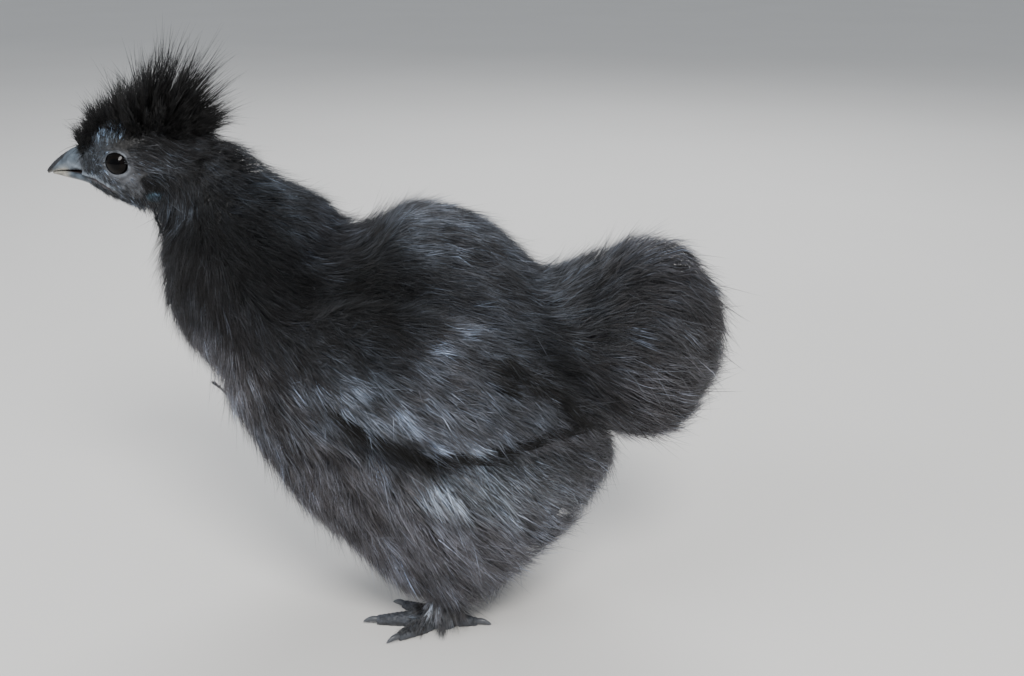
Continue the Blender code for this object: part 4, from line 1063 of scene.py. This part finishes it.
def skull_kept(p):
    """The side of the skull behind the eye, under the crest."""
    x, y, z = p.T
    return (x > -86 + 0.35 * np.abs(z - 166)) & (z > 162.5 - 1.2 * np.clip(x + 73, 0, 10))


def quill_lie(p):
    """Up and a little back."""
    return np.stack([0.35 + 0 * p[:, 0], 0 * p[:, 0], 0.94 + 0 * p[:, 0]], -1)


def quills_kept(p):
    """The bare patch of the brow, over and before the eye."""
    x, y, z = p.T
    return (np.hypot((x + 92.5) / 1.7, z - 171.3) < 3.9) & (np.abs(y) > 4) & (eye_distance(x, z) > 5.0)


def lobe_lie(p):
    """Back and a little up."""
    return np.stack([0.92 + 0 * p[:, 0], 0 * p[:, 0], 0.30 + 0 * p[:, 0]], -1)


def lobe_kept(p):
    """On the earlobe and just behind it."""
    x, y, z = p.T
    return (np.hypot((x - EARLOBE[0] - 0.5) / 3.6, (z - EARLOBE[1]) / 1.9) < 1) & (np.abs(y) > 5)


def ear_kept(p):
    """Over the opening of the ear."""
    x, y, z = p.T
    return (np.hypot(x - EAR[0] + 1.0, z - EAR[1]) < 2.9) & (np.abs(y) > 5)


on_face = {"us": (0.02, 0.97), "hiding": ("neck",), "hidden_depth": 7.0, "over": ("neck",), "lump": 0.0}
short = {"thick": 0.3, "wild": 0.45, "rings": 1, "reach": (0.6, 1.2)}
face = [grow(
    "head", 4200, 5, face_lie, face_length, 0.1, 0.22, (0.5, 0.7), 3, lift=(0.3, 1.3), keep=face_kept, shape=short,
    tint={"tuft_range": 0.55, "strand_range": 0.5, "streaks": 0.16, "light": 2.8, "shade": 0.62}, **on_face,
), grow(
    "head", 1500, 9, face_lie, 9.5, 0.1, 0.24, (1.0, 1.0), 7, lift=(0.8, 2.4), keep=skull_kept,
    shape={"thick": 0.8, "wild": 0.9, "rings": 2}, tint={"streaks": 0.14, "light": 3.0, "shade": 0.7}, **on_face,
), grow(
    "head", 5200, 3, quill_lie, 3.0, 0.1, 0.30, (0.5, 0.6), 4, lift=(0.6, 2.0), keep=quills_kept, shape=short,
    tint={"fixed": (0.066, 0.080, 0.098), "tuft_range": 0.7, "strand_range": 0.5, "streaks": 0.0}, **on_face,
), grow(
    "head", 5200, 4, lobe_lie, 4.6, 0.1, 0.25, (0.4, 0.3), 5, lift=(0.3, 1.2), keep=lobe_kept, shape=short,
    tint={"fixed": (0.170, 0.245, 0.345), "tuft_range": 0.5, "strand_range": 0.4, "streaks": 0.0}, **on_face,
), grow(
    "head", 3000, 5, face_lie, 4.2, 0.1, 0.24, (0.5, 0.6), 6, lift=(0.3, 1.3), keep=ear_kept, shape=short,
    tint={"fixed": (0.009, 0.0085, 0.0085), "streaks": 0.0}, **on_face,
)]
face_coat = hair_mesh("coat_face", face, charcoal_down)

# The crest. A puff of soft black hair-like feathers on the crown: short over the brow, upright in
# front, swept back and drooping behind, with fine tips that stray past its round outline.
CREST_WAYS = [
    (-101, 100), (-97, 102), (-92, 98), (-88, 94), (-84, 86), (-80, 77), (-76, 64), (-72, 50), (-69, 38), (-66, 27),
    (-64, 14), (-62, 0),
]
CREST_REACH = [
    (-101, 7), (-98, 10), (-95, 11), (-91, 12), (-88, 14), (-84, 18), (-80, 26), (-76, 30), (-72, 30), (-69, 28),
    (-66, 21), (-64, 13), (-62, 6),
]
WISP_REACH = [(-101, 9), (-92, 15), (-88, 20), (-84, 26), (-80, 30), (-76, 32), (-72, 33), (-69, 31), (-66, 26), (-62, 18)]
CREST_EDGE = [(-102, 165), (-97, 168.5), (-92, 172.5), (-88, 172.5), (-84, 171.5), (-76, 173), (-70, 171), (-62, 165)]


def read_table(x, table):
    """A value read off a table of (x, value) by straight lines between its rows."""
    return np.interp(x, [row[0] for row in table], [row[1] for row in table])


def crest_lines(u, angle, seed, reach, sag):
    """Lines root + way L t + bend L t^2; the way turns from upright in front to back behind."""
    draw = np.random.default_rng(seed)
    root, normal = forms["head"].at(u, angle, 0.3 * MM), forms["head"].normal(u, angle)
    x, y, z = drawn(root).T
    clump = lumps(drawn(root) * 1.9)
    lean = np.radians(read_table(x, CREST_WAYS) + 9 * clump + draw.normal(0, 7, len(x)))
    outward = 0.85 * normal[:, 1] + draw.normal(0, 0.13, len(x))
    way = unit(np.stack([np.cos(lean), outward, np.sin(lean)], -1))
    height = step_up(z - read_table(x, CREST_EDGE), -0.5, 4.0)
    long = read_table(x, reach) * (0.25 + 0.75 * height) * (1 + 0.20 * clump) * draw.uniform(0.72, 1.1, len(x)) * MM
    droop = np.array((0.6, 0.0, -1.0)) * sag * (0.5 + height[:, None]) * step_up(x, -90, -70)[:, None]
    bend = droop + draw.normal(0, 0.08, root.shape)
    t = np.linspace(0, 1, STEPS + 1)[None, :, None]
    lines = root[:, None] + long[:, None, None] * (way[:, None] * t + bend[:, None] * t**2)
    along = unit(np.gradient(lines, axis=1))
    side = unit(np.cross(np.repeat(unit(normal + (-0.3, 0, 0.1))[:, None], STEPS + 1, 1), along))
    return lines, np.cross(along, side), side, root


u, angle = even_places(forms["head"], 1000, (0.0, 0.97), (10.0, 170.0), 5)
spots = drawn(forms["head"].at(u, angle))
brow = bump_at(np.hypot(spots[:, 0] + 93.5, spots[:, 2] - 171.5), 4.2) * (np.abs(spots[:, 1]) > 5.5)
crown = (spots[:, 2] > read_table(spots[:, 0], CREST_EDGE) - 0.5) & (brow < 0.45)
u, angle = u[crown], angle[crown]
lines, outs_, sides_, roots = crest_lines(u, angle, 6, CREST_REACH, 0.06)
black_down = down_material("black_down", 0.5, 0.0, 0.6, 1.05, (0.020, 0.017, 0.015, 1.0), 0.35)
home = np.column_stack([angle / 360, u])
crest = [batch_of(
    lines, outs_, sides_, 15, 0.21, (0.8, 1.2), 7, home, roots,
    {"reach": (0.45, 1.10), "thick": 1.0, "wild": 1.4}, {"fixed": (0.006, 0.0057, 0.0058), "streaks": 0.010},
)]
thin = slice(0, None, 5)
lines, outs_, sides_, roots = crest_lines(u[thin], angle[thin], 8, WISP_REACH, 0.16)
crest.append(batch_of(
    lines, outs_, sides_, 7, 0.17, (1.2, 2.6), 9, home[thin], roots,
    {"reach": (0.6, 1.1), "thick": 1.0, "wild": 2.2}, {"fixed": (0.006, 0.0057, 0.0058), "streaks": 0.0},
))
crest_coat = hair_mesh("coat_crest", crest, black_down)
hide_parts("crest")


# The neck. Longer, narrow feathers hang from the cheeks and nape like a cape over the breast and
# the shoulders, dark and sleek with fine paler streaks.
def neck_lie(p):
    """Nearly straight down in front, and back and down behind."""
    x, y, z = p.T
    rear = step_up(x + 0.45 * (z - 140), -66, -40)
    throat = step_up(-x, 68, 79) * step_up(z, 126, 140)
    return np.stack([0.25 + 0.62 * rear - 0.65 * throat, 0.06 * np.sign(y), -0.97 + 0.42 * rear], -1)


def neck_length(p):
    """7 mm behind the cheeks, 20 mm at the shoulders."""
    return 7.0 + 13.0 * step_up(-p[:, 2], -166, -135)


def throat_stand(p):
    """The feathers under the chin stand up to 4 mm off the neck."""
    return 2.5 * bump_at(np.hypot(p[:, 0] + 79, p[:, 2] - 141), 6.0)


on_neck = {
    "hiding": ("torso",), "hidden_depth": 6.0, "over": ("torso", "head", "wing_left", "wing_right"), "stand": throat_stand,
}
neck = [grow(
    "neck", 1060, 16, neck_lie, neck_length, NECK_DEPTH, 0.26, (1.6, 1.2), 11, us=(0.0, 0.93), lift=(-0.8, 0.8),
    shape={"wild": 1.0, "rings": 2}, tint={"streaks": 0.05}, **on_neck,
), haze("neck", 1500, neck_lie, 14, us=(0.0, 0.93), **on_neck)]
neck_coat = hair_mesh("coat_neck", neck, charcoal_down)


# The body. Soft down covers the breast, back, flanks and belly, flowing down in front, straight
# back over the back and down and back under the wings.
def body_lie(p):
    """From down at the breast to back along the top; lower down it falls more."""
    x, y, z = p.T
    back = step_up(x, -75, -15)
    low = step_up(-z, -100, -60)
    fall = -1.0 + 0.72 * back - 0.35 * low * back
    return np.stack([0.25 + 0.70 * back - 0.25 * low * back, 0.05 * np.sign(y), fall], -1)


def rump_lie(p):
    """Straight back, and up with the tail above."""
    x, y, z = p.T
    return np.stack([1 + 0 * x, 0.04 * np.sign(y), 0.30 * step_up(z, 95, 120) - 0.25], -1)


grey_down = down_material("grey_down", 0.66, 0.12, 0.50, 1.2, (0.10, 0.085, 0.076, 1.0), 0.25)
on_breast = {
    "us": (0.0, 0.44), "hiding": ("neck", "wing_left", "wing_right"),
    "over": ("thigh_left", "thigh_right", "wing_left", "wing_right", "neck"),
}
breast = [grow(
    "torso", 900, 16, body_lie, 15.0, TORSO_DEPTH, 0.27, (1.9, 1.5), 21, lift=(-1.0, 0.7),
    shape={"wild": 1.1, "rings": 2}, **on_breast,
), haze("torso", 2100, body_lie, 24, **on_breast)]
breast_coat = hair_mesh("coat_breast", breast, charcoal_down)


def mantle_stand(p):
    """The coat stands 3 mm higher between the shoulders, and lies 1 mm lower on the middle of the back."""
    x, y, z = p.T
    high = step_up(z, 130, 143)
    return 3.4 * bump_at(x + 26, 14) * high - 1.0 * bump_at(x - 12, 18) * high


on_back = {
    "us": (0.36, 0.90), "angles": (5.0, 175.0), "hiding": ("neck", "tail", "wing_left", "wing_right"),
    "over": ("tail", "wing_left", "wing_right", "neck"), "stand": mantle_stand,
}
back = [grow(
    "torso", 850, 16, body_lie, 17.0, TORSO_DEPTH, 0.27, (2.0, 1.6), 31, lift=(-0.8, 0.8),
    shape={"wild": 1.3, "rings": 2}, **on_back,
), grow(
    "torso", 460, 12, rump_lie, 25.0, TORSO_DEPTH, 0.30, (2.4, 2.0), 36, us=(0.78, 0.985), angles=(0.0, 360.0),
    hiding=("tail", "wing_left", "wing_right"), hidden_depth=9.0, over=("tail",), lift=(-0.6, 1.6),
    shape={"wild": 1.6, "rings": 2},
), haze("torso", 1700, body_lie, 34, **on_back)]
back_coat = hair_mesh("coat_back", back, charcoal_down)
on_belly = {
    "us": (0.40, 0.97), "angles": (180.0, 360.0), "hidden_depth": 7.0,
    "hiding": ("wing_left", "wing_right", "thigh_left", "thigh_right"), "over": ("thigh_left", "thigh_right"),
}
belly = [grow(
    "torso", 560, 15, body_lie, 17.0, TORSO_DEPTH, 0.29, (2.2, 1.7), 41, lift=(-0.6, 1.8),
    shape={"wild": 1.4, "rings": 2}, **on_belly,
), haze("torso", 900, body_lie, 44, **on_belly)]
belly_coat = hair_mesh("coat_belly", belly, grey_down)


# The tail. Without stiff quills, the tail is a round puff of long loose feathers that curl over
# the rump and fall at its end.
def tail_lie(p):
    """Back and a little up at its root above, turning down at its end; straight back below."""
    x, y, z = p.T
    end = step_up(x, 62, 104)
    top = step_up(z, 88, 118)
    return np.stack([1.0 - 0.35 * end * top, 0.05 * np.sign(y), (0.28 - 0.95 * end) * top - 0.22 * (1 - top)], -1)


on_tail = {"us": (0.0, 1.0), "hiding": ("torso",), "hidden_depth": 8.0}
tail = [grow(
    "tail", 800, 12, tail_lie, 20.0, TAIL_DEPTH, 0.30, (2.3, 2.2), 51, lift=(-0.8, 2.6), lump=2.0,
    shape={"wild": 2.6}, **on_tail,
), haze("tail", 1600, tail_lie, 54, lump=3.0, **on_tail)]
tail_coat = hair_mesh("coat_tail", tail, grey_down)


# The thighs. Long fluff hangs from each thigh in a cone that hides the leg down to the foot and
# comes together at its lower end.
def thigh_lie(p):
    """Down and back, steeper in front."""
    x, y, z = p.T
    rear = step_up(x, -30, 60)
    return np.stack([0.45 + 0.40 * rear - 0.5 * step_up(-z, -35, -12) * rear, 0 * y, -0.85 + 0.30 * rear], -1)


for label, sign, seed in (("right", 1, 61), ("left", -1, 71)):
    outer = (-100.0, 100.0) if sign > 0 else (80.0, 280.0)
    on_thigh = {
        "us": (0.05, 0.97), "angles": outer, "hiding": ("torso", "tail", f"wing_{label}"), "hidden_depth": 5.0,
        "over": ("torso",),
    }
    thigh = [grow(
        f"thigh_{label}", 640, 16, thigh_lie, 19.0, THIGH_DEPTH, 0.28, (2.2, 1.7), seed, lift=(-0.8, 2.2),
        shape={"wild": 1.6, "rings": 2}, **on_thigh,
    ), haze(f"thigh_{label}", 1500, thigh_lie, seed + 4, **on_thigh)]
    thigh_coat = hair_mesh(f"coat_thigh_{label}", thigh, grey_down)

# The wings. Each is folded along the flank: soft coverts in overlapping rows, and below and behind
# them the darker flight feathers, whose vanes don't hook together but fray like hair.
FLIGHT_TIERS = [
    # how many, the first one's root, length and fall in degrees, and the last one's
    (8, (35, 46, 119), 14, 43, (54, 44, 98), 20, 45), (3, (29, 46, 106), 12, 34, (34, 46, 100), 12, 34),
    (9, (-24, 47, 90), 17, 22, (4, 47, 82), 15, 30), (10, (8, 46, 77), 15, 8, (54, 44, 77), 15, -14),
]


def wing_lie(p):
    """Down and back, flatter above."""
    x, y, z = p.T
    low = step_up(-z, -118, -78)
    return np.stack([0.93 - 0.10 * low, 0 * y, -0.32 - 0.28 * low], -1)


def flight_batches(label, sign, seed):
    """Flight feathers: from each root a quill, and 56 loose dark strands beside it, combed over the flank."""
    draw = np.random.default_rng(seed)
    form = forms[f"wing_{label}"]
    bases, longs, falls = [], [], []
    for count, start, first_long, first_fall, end, last_long, last_fall in FLIGHT_TIERS:
        share = np.linspace(0, 1, count)
        base = np.array(start) * (1 - share[:, None]) + np.array(end) * share[:, None]
        bases.append(base * (1, sign, 1) * MM + SHIFT)
        longs.append((first_long + (last_long - first_long) * share) * draw.uniform(0.94, 1.04, count))
        falls.append(np.radians(first_fall + (last_fall - first_fall) * share + draw.normal(0, 1.5, count)))
    base, long, fall = np.vstack(bases), np.concatenate(longs), np.concatenate(falls)
    u, angle, _ = form.locate(base + np.array((0, sign * 3, 0)) * MM)

    def lie(p):
        return np.stack([np.cos(fall), 0 * fall, -np.sin(fall)], -1)

    lift = draw.uniform(1.8, 3.0, len(base))
    lines, outs, sides = comb(form, u, angle, lie, long, 0.9, lift, (f"thigh_{label}", "torso"))
    home = np.column_stack([angle % 360 / 360, u])
    quills = batch_of(
        lines, outs, sides, 1, 0.5, (0, 0), seed + 9, home, lines[:, 0],
        {"reach": (0.8, 0.95), "thick": 0.0, "wild": 0.2}, {"fixed": (0.035, 0.036, 0.040)},
    )
    vanes = batch_of(
        lines, outs, sides, 56, 0.34, (1.7, 1.6), seed + 5, home, lines[:, 0],
        {"reach": (0.45, 1.08), "thick": 1.2, "wild": 1.0},
        {"fixed": (0.0062, 0.0057, 0.0056), "tuft_range": 0.25, "strand_range": 0.4, "streaks": 0.02, "light": 5.0},
    )
    return [quills, vanes]


def coverts_kept(p):
    """Where coverts grow: not along the dark rear and lower edges, where the flight feathers show."""
    x, y, z = p.T
    return (off_line(x, z, FLIGHT_EDGE) > 2.8) | (np.sin(91.0 * x + 57.0 * z) > 0.8)


for label, sign, seed in (("right", 1, 81), ("left", -1, 91)):
    outer = (-95.0, 95.0) if sign > 0 else (85.0, 275.0)
    on_wing = {"angles": outer, "hiding": ("neck",), "over": ("torso",), "keep": coverts_kept}
    coverts = grow(
        f"wing_{label}", 620, 17, wing_lie, 12.0, WING_DEPTH, 0.26, (1.8, 1.4), seed, us=(0.0, 0.98), lift=(-0.2, 1.6),
        shape={"wild": 1.3, "rings": 2}, tint={"streaks": 0.06, "light": 1.8}, **on_wing,
    )
    wing = [coverts, haze(f"wing_{label}", 1200, wing_lie, seed + 6, us=(0.0, 0.98), **on_wing)]
    wing_coat = hair_mesh(f"coat_wing_{label}", wing, charcoal_down)
    flights = hair_mesh(f"coat_flights_{label}", flight_batches(label, sign, seed + 3), black_down)

# The feet's feathers. A silkie's feet are feathered: a pale tuft hangs over the front of the foot, and
# short dark ones stand along the outer toes.
FOOT_TUFTS = [
    # root beside the leg, way, length and colour
    ((-3, 2, 11), (-0.35, 0.35, -0.85), 10, (0.20, 0.205, 0.22)), ((-1, 4, 12), (-0.10, 0.55, -0.83), 10, (0.17, 0.17, 0.185)),
    ((-4, 0, 11), (-0.50, 0.10, -0.85), 8, (0.12, 0.12, 0.13)), ((1, 4, 10), (0.20, 0.75, -0.60), 10, (0.08, 0.078, 0.08)),
    ((3, 3, 11), (0.50, 0.50, -0.70), 10, (0.06, 0.056, 0.058)), ((-6, 4, 5), (-0.45, 0.85, -0.15), 8, (0.05, 0.048, 0.05)),
    ((-9, 6, 4.5), (-0.50, 0.85, -0.12), 7, (0.04, 0.04, 0.042)), ((0, 5, 5), (-0.1, 0.95, -0.2), 9, (0.045, 0.043, 0.044)),
    ((-8, 1, 6), (-0.8, 0.5, 0.1), 6, (0.04, 0.04, 0.042)), ((-12, 8, 4), (-0.55, 0.80, -0.1), 6, (0.035, 0.035, 0.036)),
    ((-3, -3, 9), (-0.45, -0.55, -0.70), 9, (0.045, 0.043, 0.044)), ((2, -3, 9), (0.15, -0.70, -0.70), 9, (0.06, 0.056, 0.058)),
    ((-7, -2, 6), (-0.80, -0.35, -0.45), 7, (0.030, 0.029, 0.030)), ((4, 0, 9), (0.75, 0.0, -0.65), 9, (0.05, 0.048, 0.05)),
]
batches = []
for sign in (1, -1):
    for number, (root, way, length, colour) in enumerate(FOOT_TUFTS):
        draw = np.random.default_rng(400 + number)
        starts = np.array(root) * (1, sign, 1) + np.array((FOOT[0][0], sign * FOOT[0][1], 0))
        starts = (starts + draw.normal(0, 0.8, (5, 3))) * MM + SHIFT
        ways = unit(np.array(way) * (1, sign, 1) + draw.normal(0, 0.14, (5, 3)))
        t = np.linspace(0, 1, STEPS + 1)[None, :, None]
        lines = starts[:, None] + ways[:, None] * length * MM * t + np.array((0, 0, -0.12)) * length * MM * t**2
        side = unit(np.cross(ways, (0.0, 0.1, 1.0)))[:, None] + 0 * lines
        out = np.cross(side, ways[:, None] + 0 * lines)
        home = np.column_stack([0.05 + 0.065 * number + draw.random(5) * 0.05, 0.25 + 0.5 * (sign > 0) + draw.random(5) * 0.2])
        batches.append(batch_of(
            lines, out, side, 12, 0.22, (0.7, 0.9), 420 + number, home, starts,
            {"wild": 0.9, "rings": 2, "thick": 0.5}, {"fixed": colour, "streaks": 0.0},
        ))
foot_coat = hair_mesh("coat_feet", batches, grey_down)
